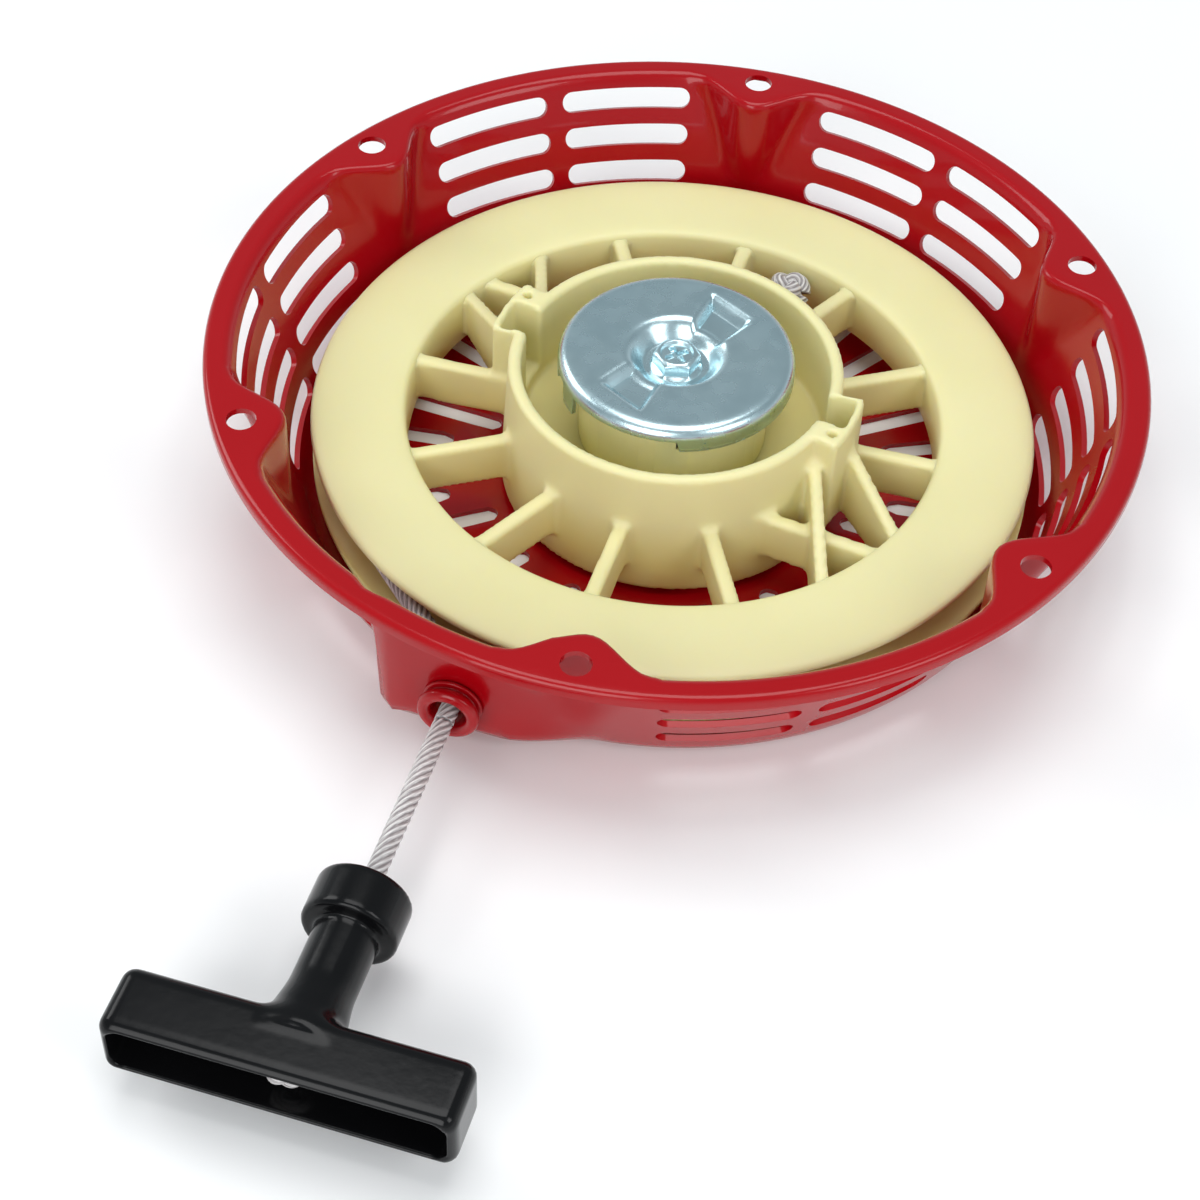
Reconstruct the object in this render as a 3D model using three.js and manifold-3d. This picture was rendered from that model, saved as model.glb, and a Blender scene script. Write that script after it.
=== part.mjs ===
// Recoil starter for a small engine: a pressed steel case, a moulded reel that carries the rope and its
// return spring, a ratchet head that grips the engine's cup, and a T-shaped pull grip on the rope.
//
// Millimetres, +Z up. The origin is the centre of the case's outer back face and +Z points out of the
// open side. Angles are in degrees, counter-clockwise seen from +Z, with 0 along +X.

import * as THREE from "three";
import { mergeVertices } from "three/addons/utils/BufferGeometryUtils.js";
import Module from "manifold-3d";

const wasm = await Module();
wasm.setup();

// ---------------------------------------------------------------- driving dimensions

const gap = 0.3; // kept between pieces that touch
const runningGap = 0.3; // kept round pieces that turn

const caseShell = {
  height: 46,
  sheet: 1.5,
  rimRadius: 112,
  flangeWidth: 4.8,
  lipDepth: 3.2,
  lipRounding: 1.2,
  wallLean: 21.5,
  floorCorner: 9,
  lobeReach: 8.7,
  lobeHalfAngle: 10,
  facets: 60,
};

// The holes stand in from the rim by inset.
const boltHoles = { count: 6, inset: 7, radius: 3.5, firstAngle: 30 };

// The rows are spaced evenly from firstDrop below the rim to lastRise above the back face, and bridge is
// the metal left between two rows.
const wallSlots = {
  rows: 4,
  firstDrop: 6.1,
  lastRise: 12.3,
  bridge: 4,
  halfAngle: 9.5,
  columnAngle: 10.7,
};

// Long and short slots take turns, and their outer ends stand in from the floor's corner by edgeMargin.
const floorSlots = {
  count: 36,
  firstAngle: -107.5,
  width: 5,
  longLength: 33,
  shortLength: 23,
  edgeMargin: 5,
};

// The flat face of the boss that the rope comes out of stands in from the rim by faceInset.
const outlet = {
  angle: -106.3,
  pullAngle: -94,
  faceInset: 12,
  fromAngle: -115,
  toAngle: -100,
  blendAngle: 5,
  bottomBlend: 9,
};

const rope = { radius: 2.25, height: 17.6, freeLength: 47.5, bendBefore: 6.5 };

// wall is the ring's own thickness at its neck, and lipReach how far its lip stands out past the bore.
const eyelet = {
  ropeClearance: 1.85,
  wall: 1.5,
  lipReach: 3.1,
  lipWidth: 2.6,
  backLip: 1.6,
  nose: 5.2,
  edge: 1.2,
};

// caseClearance is kept between the flanges and the case. windings is how deep the wound rope lies.
const reel = {
  caseClearance: 3.5,
  flangeThickness: 2.3,
  grooveWidth: 10.2,
  grooveDepth: 20.5,
  grooveDraft: 0.6,
  drumWall: 2.5,
  windings: 12.5,
  webLift: 1,
  flangeRounding: 3,
  webHeight: 12,
  webThickness: 3.6,
  knotAngle: 71,
  knotRadius: 5,
  skirtClearance: 1.7,
};

// rimDrop is measured down from the case's rim, and springClearance from the return spring up to the floor.
const cup = {
  innerRadius: 37.2,
  wall: 3,
  rimDrop: 7.5,
  springClearance: 1.2,
  floorThickness: 3,
  bulgeReach: 8.8,
  bulgeFrom: -24,
  bulgeTo: -2,
  bulgeWall: 2.2,
};

// The hub stands out past the ratchets' pivots by pivotMargin, and its crown is crownDrop below the rim.
const hub = { pivotMargin: 5.5, crownDrop: 7, pocketDepth: 7.3, counterboreDepth: 8.7 };

const post = {
  radius: 7,
  rise: 5,
  shoulderRadius: 9.5,
  baseRadius: 14,
  baseThickness: 1.5,
  threadDepth: 16,
};

const bolt = {
  shankRadius: 3,
  threadSpare: 1.7,
  flangeRadius: 6.5,
  flangeThickness: 1.3,
  acrossFlats: 10,
  headHeight: 3.6,
  dishDepth: 1,
  dishRim: 1.2,
  turn: 12,
};

// The guide's face is topDrop below the case's rim. Its recess leaves recessMargin round the bolt, its edge
// overhangs the hub, and its dimples reach out past the recess by dimpleReach.
const guide = {
  overhang: 4.4,
  topDrop: 4.7,
  sheet: 1.2,
  recessMargin: 4,
  recessDepth: 4.5,
  skirtDepth: 4.8,
  tabDepth: 7.4,
  dimpleReach: 9.5,
  dimpleWidth: 10,
  dimpleDepth: 0.6,
  dimpleAngle: 57.3,
  skirtFrom: -64,
  skirtTo: 20,
  tabFrom: 32,
  tabTo: 42,
};

// The pivots stand outside the guide's recess by pivotClearance.
const ratchet = {
  pivotClearance: 5.4,
  pivotAngle: 100,
  length: 17,
  width: 4.4,
  eyeRadius: 3.5,
  pinRadius: 1.75,
  thickness: 4,
  stowedAngle: 100,
  wellRadius: 5,
  wellDepth: 5.4,
  pocketClearance: 0.8,
  pinRise: 0.6,
};

// lift is kept above the post's base and cupClearance inside the cup's skirt.
const returnSpring = {
  innerRadius: 14.5,
  cupClearance: 1.7,
  turns: 7,
  thickness: 0.9,
  lift: 1.1,
  height: 8.4,
};

const wire = { ratchetSpring: 0.45, frictionSpring: 0.6, turns: 3, sides: 6 };

const grip = {
  collarRadius: 10.5,
  collarLength: 11,
  neckRadius: 7,
  barStart: 35,
  barDepth: 16,
  barLength: 74,
  barThickness: 16,
  wall: 1.9,
  hollowDepth: 12.4,
  corner: 5,
  knotRadius: 4.6,
  ropeClearance: 0.45,
};

// ---------------------------------------------------------------- worked-out values

const wallSlope = Math.tan(THREE.MathUtils.degToRad(caseShell.wallLean));
const wallAcross = caseShell.sheet / Math.cos(THREE.MathUtils.degToRad(caseShell.wallLean));
const wallTopRadius = caseShell.rimRadius - caseShell.flangeWidth;
const boltCircle = caseShell.rimRadius - boltHoles.inset;
const lobeRadius = boltCircle - caseShell.lobeReach;
const coneAtCorner = wallTopRadius - (caseShell.height - caseShell.floorCorner) * wallSlope;
const cornerCentre = coneAtCorner - caseShell.floorCorner / Math.cos(radians(caseShell.wallLean));
const slotPitch = (caseShell.height - wallSlots.firstDrop - wallSlots.lastRise) / (wallSlots.rows - 1);
const slotHeight = slotPitch - wallSlots.bridge;

const eyeletBore = rope.radius + eyelet.ropeClearance;
const eyeletNeck = eyeletBore + eyelet.wall;
const eyeletLip = eyeletBore + eyelet.lipReach;
const bossBottom = rope.height - eyeletLip - 1;
const faceDistance = caseShell.rimRadius - outlet.faceInset;

const grooveBottom = rope.height - reel.grooveWidth / 2;
const grooveTop = rope.height + reel.grooveWidth / 2;
const flangeBottom = grooveBottom - reel.flangeThickness;
const webBottom = flangeBottom + reel.webLift;
const wallAtReel = wallTopRadius - (caseShell.height - flangeBottom) * wallSlope;
const flangeRadius = Math.min(wallAtReel, lobeRadius) - wallAcross - reel.caseClearance;
const drumRadius = flangeRadius - reel.grooveDepth;
const woundRadius = drumRadius + reel.windings;
const drumInner = drumRadius - reel.drumWall;

const postBaseTop = caseShell.sheet + gap + post.baseThickness;
const springBottom = postBaseTop + returnSpring.lift;
const springTop = springBottom + returnSpring.height;
const springRadius = cup.innerRadius - returnSpring.cupClearance;
const cupOuter = cup.innerRadius + cup.wall;
const cupRim = caseShell.height - cup.rimDrop;
const cupFloorBottom = springTop + cup.springClearance;
const cupFloorTop = cupFloorBottom + cup.floorThickness;
const bulgeRadius = cup.innerRadius + cup.bulgeReach;

const crown = caseShell.height - hub.crownDrop;
const pocketFloor = crown - hub.pocketDepth;
const counterboreFloor = crown - hub.counterboreDepth;
const boreRadius = post.radius + runningGap;
const postTop = counterboreFloor + post.rise;
const guideTop = caseShell.height - guide.topDrop;
const recessFloor = guideTop - guide.recessDepth;
const recessRadius = bolt.flangeRadius + guide.recessMargin;
const recessBend = 1.6;
const counterbore = recessRadius + 1.5;
const pivotRadius = recessRadius + recessBend + ratchet.pivotClearance;
const hubRadius = pivotRadius + hub.pivotMargin;
const guideRadius = hubRadius + guide.overhang;

const ropeAxis = new THREE.Vector3(...polar(1, outlet.pullAngle), 0);
const outletRadius = faceDistance / Math.cos(radians(outlet.angle - outlet.pullAngle));
const outletPoint = new THREE.Vector3(...polar(outletRadius, outlet.angle), rope.height);
const ropeFreeStart = eyelet.nose + 2;
const collarFace = ropeFreeStart + rope.freeLength;

const paint = new THREE.MeshStandardMaterial({ color: 0x9c0710, roughness: 0.25, metalness: 0.1 });
const nylon = new THREE.MeshStandardMaterial({ color: 0xe9e0ae, roughness: 0.45, metalness: 0 });
const zinc = new THREE.MeshStandardMaterial({ color: 0x9fb0ba, roughness: 0.3, metalness: 0.9 });
const steel = new THREE.MeshStandardMaterial({ color: 0x6d6f72, roughness: 0.4, metalness: 0.9 });
const springSteel = new THREE.MeshStandardMaterial({ color: 0x3d4248, roughness: 0.35, metalness: 0.9 });
const blackPlastic = new THREE.MeshStandardMaterial({ color: 0x0b0b0c, roughness: 0.2, metalness: 0 });
const cordNylon = new THREE.MeshStandardMaterial({ color: 0xd9d3cf, roughness: 0.5, metalness: 0 });

// ---------------------------------------------------------------- helpers

function radians(degrees) {
  return (degrees * Math.PI) / 180;
}

function polar(radius, degrees) {
  return [radius * Math.cos(radians(degrees)), radius * Math.sin(radians(degrees))];
}

// The signed angle from b to a, in degrees, from -180 to 180.
function turnBetween(a, b) {
  return ((((a - b) % 360) + 540) % 360) - 180;
}

function smooth(t) {
  const inside = Math.min(Math.max(t, 0), 1);
  return 0.5 - 0.5 * Math.cos(Math.PI * inside);
}

// Evenly spaced values from the first to the last, both included.
function evenly(first, last, steps) {
  return Array.from({ length: steps + 1 }, (_, i) => first + ((last - first) * i) / steps);
}

// A closed three.js geometry as a manifold solid, with shared corners merged.
function solid(geometry) {
  const bare = geometry.clone();
  bare.deleteAttribute("normal");
  bare.deleteAttribute("uv");
  const merged = mergeVertices(bare, 1e-4);
  const corners = merged.index.array;
  const kept = [];
  for (let i = 0; i < corners.length; i += 3) {
    const [a, b, c] = corners.slice(i, i + 3);
    if (a !== b && b !== c && c !== a) kept.push(a, b, c);
  }
  return new wasm.Manifold(
    new wasm.Mesh({
      numProp: 3,
      vertProperties: merged.attributes.position.array,
      triVerts: new Uint32Array(kept),
    }),
  );
}

function meshOf(name, shape, material) {
  const made = shape.getMesh();
  const geometry = new THREE.BufferGeometry();
  geometry.setAttribute("position", new THREE.BufferAttribute(made.vertProperties, 3));
  geometry.setIndex(new THREE.BufferAttribute(made.triVerts, 1));
  geometry.computeVertexNormals();
  const mesh = new THREE.Mesh(geometry, material);
  mesh.name = name;
  return mesh;
}

// A profile of [radius, z] points turned about the Z axis.
function lathe(profile, facets) {
  const points = profile.map(([radius, z]) => new THREE.Vector2(radius, z));
  return new THREE.LatheGeometry(points, facets).rotateX(Math.PI / 2);
}

// A closed ring section: its first point is repeated at the end.
function ring(innerRadius, outerRadius, bottom, top, facets) {
  const section = [
    [innerRadius, bottom],
    [outerRadius, bottom],
    [outerRadius, top],
    [innerRadius, top],
    [innerRadius, bottom],
  ];
  return solid(lathe(section, facets));
}

function cylinder(radius, bottom, top, facets) {
  const section = [
    [0, bottom],
    [radius, bottom],
    [radius, top],
    [0, top],
  ];
  return solid(lathe(section, facets));
}

// A flat outline of [x, y] points raised from bottom to top.
function prism(outline, bottom, top) {
  const shape = new THREE.Shape(outline.map(([x, y]) => new THREE.Vector2(x, y)));
  const raised = new THREE.ExtrudeGeometry(shape, { depth: top - bottom, bevelEnabled: false });
  return solid(raised.translate(0, 0, bottom));
}

// The part of a ring between two angles.
function sector(innerRadius, outerRadius, from, to, bottom, top) {
  const steps = Math.max(2, Math.ceil((to - from) / 9));
  const angles = evenly(from, to, steps);
  const outside = angles.map((angle) => polar(outerRadius, angle));
  const inside = angles.map((angle) => polar(innerRadius, angle)).reverse();
  return prism([...outside, ...inside], bottom, top);
}

// A straight bar with its long axis in the XY plane, from one point to another.
function bar(start, end, thickness, bottom, top) {
  const along = new THREE.Vector2(end[0] - start[0], end[1] - start[1]).normalize();
  const side = new THREE.Vector2(-along.y, along.x).multiplyScalar(thickness / 2);
  const outline = [
    [start[0] - side.x, start[1] - side.y],
    [end[0] - side.x, end[1] - side.y],
    [end[0] + side.x, end[1] + side.y],
    [start[0] + side.x, start[1] + side.y],
  ];
  return prism(outline, bottom, top);
}

// A slot with round ends, centred on the origin, long in X, across in Y, and cut through depth in Z.
function slotCutter(length, width, depth) {
  const half = length / 2 - width / 2;
  const shape = new THREE.Shape();
  shape.absarc(half, 0, width / 2, -Math.PI / 2, Math.PI / 2, false);
  shape.absarc(-half, 0, width / 2, Math.PI / 2, (3 * Math.PI) / 2, false);
  const raised = new THREE.ExtrudeGeometry(shape, { depth, bevelEnabled: false, curveSegments: 2 });
  return raised.translate(0, 0, -depth / 2);
}

// A round section with the given number of sides carried along a curve.
function tube(curve, radius, sides, steps) {
  const section = new THREE.Shape();
  for (let i = 0; i < sides; i += 1) {
    const angle = (2 * Math.PI * i) / sides;
    const [x, y] = [radius * Math.cos(angle), radius * Math.sin(angle)];
    if (i === 0) section.moveTo(x, y);
    else section.lineTo(x, y);
  }
  section.closePath();
  return solid(new THREE.ExtrudeGeometry(section, { steps, extrudePath: curve, bevelEnabled: false }));
}

class Helix extends THREE.Curve {
  constructor(radius, bottom, top, turns) {
    super();
    Object.assign(this, { radius, bottom, top, turns });
  }

  getPoint(t, target = new THREE.Vector3()) {
    const [x, y] = polar(this.radius, 360 * this.turns * t);
    return target.set(x, y, this.bottom + (this.top - this.bottom) * t);
  }
}

// ---------------------------------------------------------------- case

// The wall's radius at an angle and a height. inset is 0 on the outer face and the sheet on the inner.
function wallRadius(angle, z, inset) {
  const across = inset > 0 ? wallAcross : 0;
  const cone = wallTopRadius - (caseShell.height - z) * wallSlope;
  const step = 360 / boltHoles.count;
  const nearest = Math.round((angle - boltHoles.firstAngle) / step) * step + boltHoles.firstAngle;
  const fromLobe = Math.abs(turnBetween(angle, nearest)) / caseShell.lobeHalfAngle;
  const lobe = lobeRadius + (wallTopRadius - lobeRadius) * smooth(fromLobe);
  const plain = fromLobe < 1 ? Math.min(cone, lobe) : cone;

  const face = faceDistance / Math.cos(radians(turnBetween(angle, outlet.pullAngle)));
  const before = turnBetween(outlet.fromAngle, angle) / outlet.blendAngle;
  const after = turnBetween(angle, outlet.toAngle) / outlet.blendAngle;
  const sideways = 1 - smooth(Math.max(before, after));
  const upwards = smooth((z - (bossBottom - outlet.bottomBlend)) / outlet.bottomBlend);
  const boss = Math.max(0, face - plain) * sideways * upwards;
  return plain + boss - across;
}

function starterCase() {
  const { height, sheet, rimRadius, lipDepth, lipRounding, floorCorner, facets } = caseShell;
  const cornerTop = floorCorner * (1 - Math.sin(radians(caseShell.wallLean)));
  const wallLevels = [cornerTop, bossBottom, ...evenly(bossBottom, height - sheet, 3).slice(1)];

  const cornerArc = (radius) =>
    [90, 55].map((fall) => [
      cornerCentre + radius * Math.cos(radians(fall)),
      floorCorner - radius * Math.sin(radians(fall)),
    ]);
  const lipInner = rimRadius - sheet;
  const outer = [[0, 0], ...cornerArc(floorCorner), ...wallLevels.map((z) => ["outer", z])];
  const rim = [
    [lipInner, height - sheet],
    [lipInner, height - lipDepth],
    [rimRadius, height - lipDepth],
    [rimRadius, height - lipRounding],
    [rimRadius - lipRounding, height],
  ];
  const innerLevels = [...wallLevels.slice(0, -1), height].reverse();
  const inner = [
    ...innerLevels.map((z) => ["inner", z]),
    ...cornerArc(floorCorner - sheet).reverse(),
    [0, sheet],
  ];
  const profile = [...outer, ...rim, ...inner];

  // The wall points are turned at radius 1 and then moved out to the wall at their own angle.
  const shell = lathe(profile.map(([radius, z]) => [typeof radius === "string" ? 1 : radius, z]), facets);
  const place = shell.attributes.position;
  for (let i = 0; i < place.count; i += 1) {
    const [kind] = profile[i % profile.length];
    if (typeof kind === "string") {
      const angle = (Math.atan2(place.getY(i), place.getX(i)) * 180) / Math.PI;
      const radius = wallRadius(angle, place.getZ(i), kind === "inner" ? sheet : 0);
      const [x, y] = polar(radius, angle);
      place.setXY(i, x, y);
    }
  }

  const cuts = [...holeCutters(), ...wallSlotCutters(), ...floorSlotCutters(), outletCutter()];
  return meshOf("starter_case", solid(shell).subtract(wasm.Manifold.union(cuts)), paint);
}

function holeCutters() {
  return Array.from({ length: boltHoles.count }, (_, i) => {
    const angle = boltHoles.firstAngle + (360 * i) / boltHoles.count;
    const [x, y] = polar(boltCircle, angle);
    const bottom = caseShell.height - caseShell.lipDepth;
    return cylinder(boltHoles.radius, bottom, caseShell.height + 1, 12).translate([x, y, 0]);
  });
}

function wallSlotCutters() {
  const cutters = [];
  const cutDepth = 16;
  const step = 360 / boltHoles.count;
  for (let side = 0; side < boltHoles.count; side += 1) {
    const middle = boltHoles.firstAngle + step * (side + 0.5);
    for (const column of [-1, 1]) {
      const angle = middle + column * wallSlots.columnAngle;
      const fromOutlet = Math.abs(turnBetween(angle, outlet.angle));
      const clearOfOutlet = fromOutlet > wallSlots.halfAngle + outlet.blendAngle;
      for (let row = 0; row < wallSlots.rows && clearOfOutlet; row += 1) {
        const z = caseShell.height - wallSlots.firstDrop - row * slotPitch;
        const radius = wallRadius(middle, z, 0);
        const length = 2 * radius * Math.sin(radians(wallSlots.halfAngle));
        const cutter = slotCutter(length, slotHeight, cutDepth);
        cutter.rotateX(Math.PI / 2);
        cutter.rotateZ(radians(angle - 90));
        const [x, y] = polar(radius - caseShell.sheet, angle);
        cutters.push(solid(cutter.translate(x, y, z)));
      }
    }
  }
  return cutters;
}

function floorSlotCutters() {
  const outerRadius = cornerCentre - floorSlots.edgeMargin;
  return Array.from({ length: floorSlots.count }, (_, i) => {
    const angle = floorSlots.firstAngle + (360 * i) / floorSlots.count;
    const length = i % 2 === 0 ? floorSlots.longLength : floorSlots.shortLength;
    const cutter = slotCutter(length, floorSlots.width, 4 * caseShell.sheet);
    cutter.translate(outerRadius - length / 2, 0, 0);
    return solid(cutter.rotateZ(radians(angle)));
  });
}

function alongRope(geometry, distance) {
  geometry.rotateY(Math.PI / 2);
  geometry.rotateZ(radians(outlet.pullAngle));
  const at = outletPoint.clone().addScaledVector(ropeAxis, distance);
  return geometry.translate(at.x, at.y, at.z);
}

function outletCutter() {
  const radius = eyeletNeck + gap;
  const depth = 16;
  const hole = new THREE.CylinderGeometry(radius, radius, depth, 16).rotateX(Math.PI / 2);
  return solid(alongRope(hole, 0));
}

// A spool-shaped ring whose neck fills the case's hole: a back lip inside and a rolled lip outside.
function ropeEyelet() {
  const { lipWidth, backLip, nose, edge } = eyelet;
  const insideFace = -caseShell.sheet - gap;
  const back = insideFace - backLip;
  const backRadius = eyeletLip - edge / 3;
  const section = [
    [eyeletBore, back + edge / 2],
    [eyeletBore + edge, back],
    [backRadius, back],
    [backRadius, insideFace],
    [eyeletNeck, insideFace],
    [eyeletNeck, gap],
    [backRadius, nose - lipWidth],
    [eyeletLip, nose - lipWidth / 2],
    [eyeletLip - 0.75 * edge, nose - edge / 4],
    [eyeletBore + edge, nose],
    [eyeletBore, nose - edge],
    [eyeletBore, back + edge / 2],
  ];
  return meshOf("rope_eyelet", solid(alongRope(lathe(section, 20), 0)), paint);
}

function reelPost() {
  const base = caseShell.sheet + gap;
  const threadBottom = postTop - post.threadDepth;
  const section = [
    [0, base],
    [post.baseRadius, base],
    [post.baseRadius, postBaseTop],
    [post.shoulderRadius, postBaseTop],
    [post.shoulderRadius, cupFloorBottom - runningGap],
    [post.radius, cupFloorBottom - runningGap],
    [post.radius, postTop],
    [bolt.shankRadius + gap, postTop],
    [bolt.shankRadius + gap, threadBottom],
    [0, threadBottom],
  ];
  return meshOf("reel_post", solid(lathe(section, 24)), steel);
}

// The hook that the inner end of the return spring catches, standing on the post's base.
function springHook() {
  const inner = post.shoulderRadius + gap;
  const outer = returnSpring.innerRadius - returnSpring.thickness / 2 - gap;
  const [from, to] = [60, 84];
  const lug = sector(inner, outer, from, to, postBaseTop + gap, springTop);
  return meshOf("spring_hook", lug, steel);
}

function centerBolt() {
  const flangeBottom = recessFloor + gap;
  const flangeTop = flangeBottom + bolt.flangeThickness;
  const headTop = flangeTop + bolt.headHeight;
  const shankBottom = postTop - post.threadDepth + bolt.threadSpare;
  const section = [
    [0, shankBottom],
    [bolt.shankRadius, shankBottom],
    [bolt.shankRadius, flangeBottom],
    [bolt.flangeRadius, flangeBottom],
    [bolt.flangeRadius, flangeTop - 0.5],
    [bolt.flangeRadius - 1, flangeTop],
    [0, flangeTop],
  ];
  const corner = bolt.acrossFlats / Math.sqrt(3);
  const hexagon = Array.from({ length: 6 }, (_, i) => polar(corner, 60 * i + bolt.turn));
  const head = prism(hexagon, flangeTop - bolt.flangeThickness / 2, headTop);
  const dish = cylinder(bolt.acrossFlats / 2 - bolt.dishRim, headTop - bolt.dishDepth, headTop + 1, 20);
  return meshOf("center_bolt", solid(lathe(section, 24)).add(head).subtract(dish), zinc);
}

// ---------------------------------------------------------------- reel

// Each web runs from the cup wall to the drum: start angle, end angle, and how high it meets the cup.
const webs = [
  [-2, -2, 0],
  [28, 28, 0],
  [58, 58, 0],
  [85, 85, 0],
  [114, 114, 0],
  [132, 148, 0],
  [158, 133, 8],
  [176, 154, 8],
];

// The two flanges, the drum between them and the webs inside it.
function reelBody() {
  const flangeTop = grooveTop + reel.flangeThickness;
  const draft = reel.grooveDraft;
  const round = reel.flangeRounding;
  const spool = [
    [drumInner, flangeBottom],
    [flangeRadius, flangeBottom],
    [flangeRadius, grooveBottom - draft],
    [drumRadius, grooveBottom],
    [drumRadius, grooveTop],
    [flangeRadius, grooveTop + draft],
    [flangeRadius, flangeTop - round / 4],
    [flangeRadius - round, flangeTop],
    [drumInner + round, flangeTop],
    [drumInner, flangeTop - round / 2],
    [drumInner, flangeBottom],
  ];
  const webTop = webBottom + reel.webHeight;
  const pieces = [solid(lathe(spool, 48))];
  for (const half of [0, 180]) {
    for (const [cupAngle, drumAngle, rise] of webs) {
      const start = polar(cupOuter - cup.wall / 2, half + cupAngle);
      const end = polar(drumInner + reel.drumWall / 2, half + drumAngle);
      pieces.push(bar(start, end, reel.webThickness, webBottom, webTop + rise / 2));
    }
  }

  const cuts = [cylinder(cupOuter + gap, 0, caseShell.height, 36)];
  for (const half of [0, 180]) cuts.push(bulgeBlock(half, gap));
  const knot = polar(drumRadius, reel.knotAngle);
  const holeRadius = rope.radius + 2 * gap;
  const ropeHole = new THREE.CylinderGeometry(holeRadius, holeRadius, 12, 10);
  ropeHole.rotateZ(Math.PI / 2).rotateZ(radians(reel.knotAngle));
  cuts.push(solid(ropeHole.translate(knot[0], knot[1], rope.height)));
  cuts.push(knotBall(reel.knotRadius + gap));
  const body = wasm.Manifold.union(pieces).subtract(wasm.Manifold.union(cuts));
  return meshOf("reel", body, nylon);
}

// The box-shaped swelling of the cup wall, grown outwards by margin.
function bulgeBlock(half, margin) {
  const turn = (margin / bulgeRadius) * (180 / Math.PI);
  const [from, to] = [half + cup.bulgeFrom - turn, half + cup.bulgeTo + turn];
  const inner = cup.innerRadius + cup.wall / 2;
  return sector(inner, bulgeRadius + margin, from, to, webBottom - margin, cupRim);
}

// The cup's wall, floor and skirt with its two swellings, each with a notch that is open to the top.
function reelCup() {
  const skirtBottom = caseShell.sheet + reel.skirtClearance;
  const draft = reel.grooveDraft;
  const section = [
    [boreRadius, cupFloorBottom],
    [cup.innerRadius, cupFloorBottom],
    [cup.innerRadius, skirtBottom],
    [cupOuter, skirtBottom],
    [cupOuter, cupRim - draft],
    [cupOuter - draft, cupRim],
    [cup.innerRadius, cupRim],
    [cup.innerRadius, cupFloorTop],
    [boreRadius, cupFloorTop],
    [boreRadius, cupFloorBottom],
  ];
  const margin = (cup.bulgeWall / bulgeRadius) * (180 / Math.PI);
  const middle = (cup.bulgeFrom + cup.bulgeTo) / 2;
  const outer = bulgeRadius - cup.bulgeWall;
  const to = cup.bulgeTo - margin;
  let body = solid(lathe(section, 36));
  for (const half of [0, 180]) {
    const notch = sector(cupOuter + gap, outer, half + middle, half + to, cupFloorTop, cupRim + 1);
    body = body.add(bulgeBlock(half, 0).subtract(notch));
  }
  return meshOf("reel_cup", body.subtract(knotBall(reel.knotRadius + gap)), nylon);
}

// The hub on the cup's floor, with a pocket for each ratchet and the pin that it turns on.
function reelHub() {
  const section = [
    [boreRadius, cupFloorTop + gap],
    [hubRadius, cupFloorTop + gap],
    [hubRadius, crown],
    [counterbore, crown],
    [counterbore, counterboreFloor],
    [boreRadius, counterboreFloor],
    [boreRadius, cupFloorTop + gap],
  ];
  const body = solid(lathe(section, 36)).subtract(ratchetPocket(0)).subtract(ratchetPocket(180));
  return meshOf("reel_hub", body.add(ratchetPin(0)).add(ratchetPin(180)), nylon);
}

function ratchetPivot(half) {
  return polar(pivotRadius, half + ratchet.pivotAngle);
}

// The room in the hub's crown for one ratchet, from its stowed place outwards, with its spring's well.
function ratchetPocket(half) {
  const [x, y] = ratchetPivot(half);
  const stowed = half + ratchet.pivotAngle + ratchet.stowedAngle;
  const above = crown + 1;
  const round = cylinder(ratchet.eyeRadius + ratchet.pocketClearance, pocketFloor, above, 16);
  const well = cylinder(ratchet.wellRadius, pocketFloor - ratchet.wellDepth, above, 16);
  const inward = ratchet.width / 2 + ratchet.pocketClearance;
  const side = polar(1, stowed + 90);
  const along = polar(1, stowed);
  const reach = ratchet.length + 3 * ratchet.pocketClearance;
  const outward = hubRadius;
  const corner = (l, s) => [x + along[0] * l + side[0] * s, y + along[1] * l + side[1] * s];
  const sweep = [corner(0, inward), corner(0, -outward), corner(reach, -outward), corner(reach, inward)];
  const opening = prism(sweep, pocketFloor, above);
  return opening.add(round.translate([x, y, 0])).add(well.translate([x, y, 0]));
}

function ratchetPin(half) {
  const [x, y] = ratchetPivot(half);
  const bottom = pocketFloor - ratchet.wellDepth - 1;
  const top = pocketFloor + gap + ratchet.thickness + ratchet.pinRise;
  return cylinder(ratchet.pinRadius, bottom, top, 12).translate([x, y, 0]);
}

function woundRope() {
  const [bottom, top] = [grooveBottom + 2 * gap, grooveTop - 2 * gap];
  return meshOf("rope_on_reel", ring(drumRadius + gap, woundRadius, bottom, top, 48), cordNylon);
}

// A ball where the rope's knot sits, beside the drum wall.
function knotBall(radius) {
  const [x, y] = polar(drumInner - reel.knotRadius - 2 * gap, reel.knotAngle);
  return solid(new THREE.SphereGeometry(radius, 12, 8)).translate([x, y, rope.height]);
}

function reelKnot() {
  return meshOf("reel_knot", knotBall(reel.knotRadius), cordNylon);
}

// A flat strip wound in a spiral in the space under the cup's floor.
function spiralSpring() {
  const { innerRadius, turns, thickness } = returnSpring;
  const steps = turns * 14;
  const firstAngle = 100;
  const at = (i, offset) => {
    const radius = innerRadius + ((springRadius - innerRadius) * i) / steps;
    return polar(radius + offset, firstAngle + (360 * turns * i) / steps);
  };
  const outside = Array.from({ length: steps + 1 }, (_, i) => at(i, thickness / 2));
  const inside = Array.from({ length: steps + 1 }, (_, i) => at(i, -thickness / 2)).reverse();
  return meshOf("return_spring", prism([...outside, ...inside], springBottom, springTop), springSteel);
}

// ---------------------------------------------------------------- ratchet head

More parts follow.
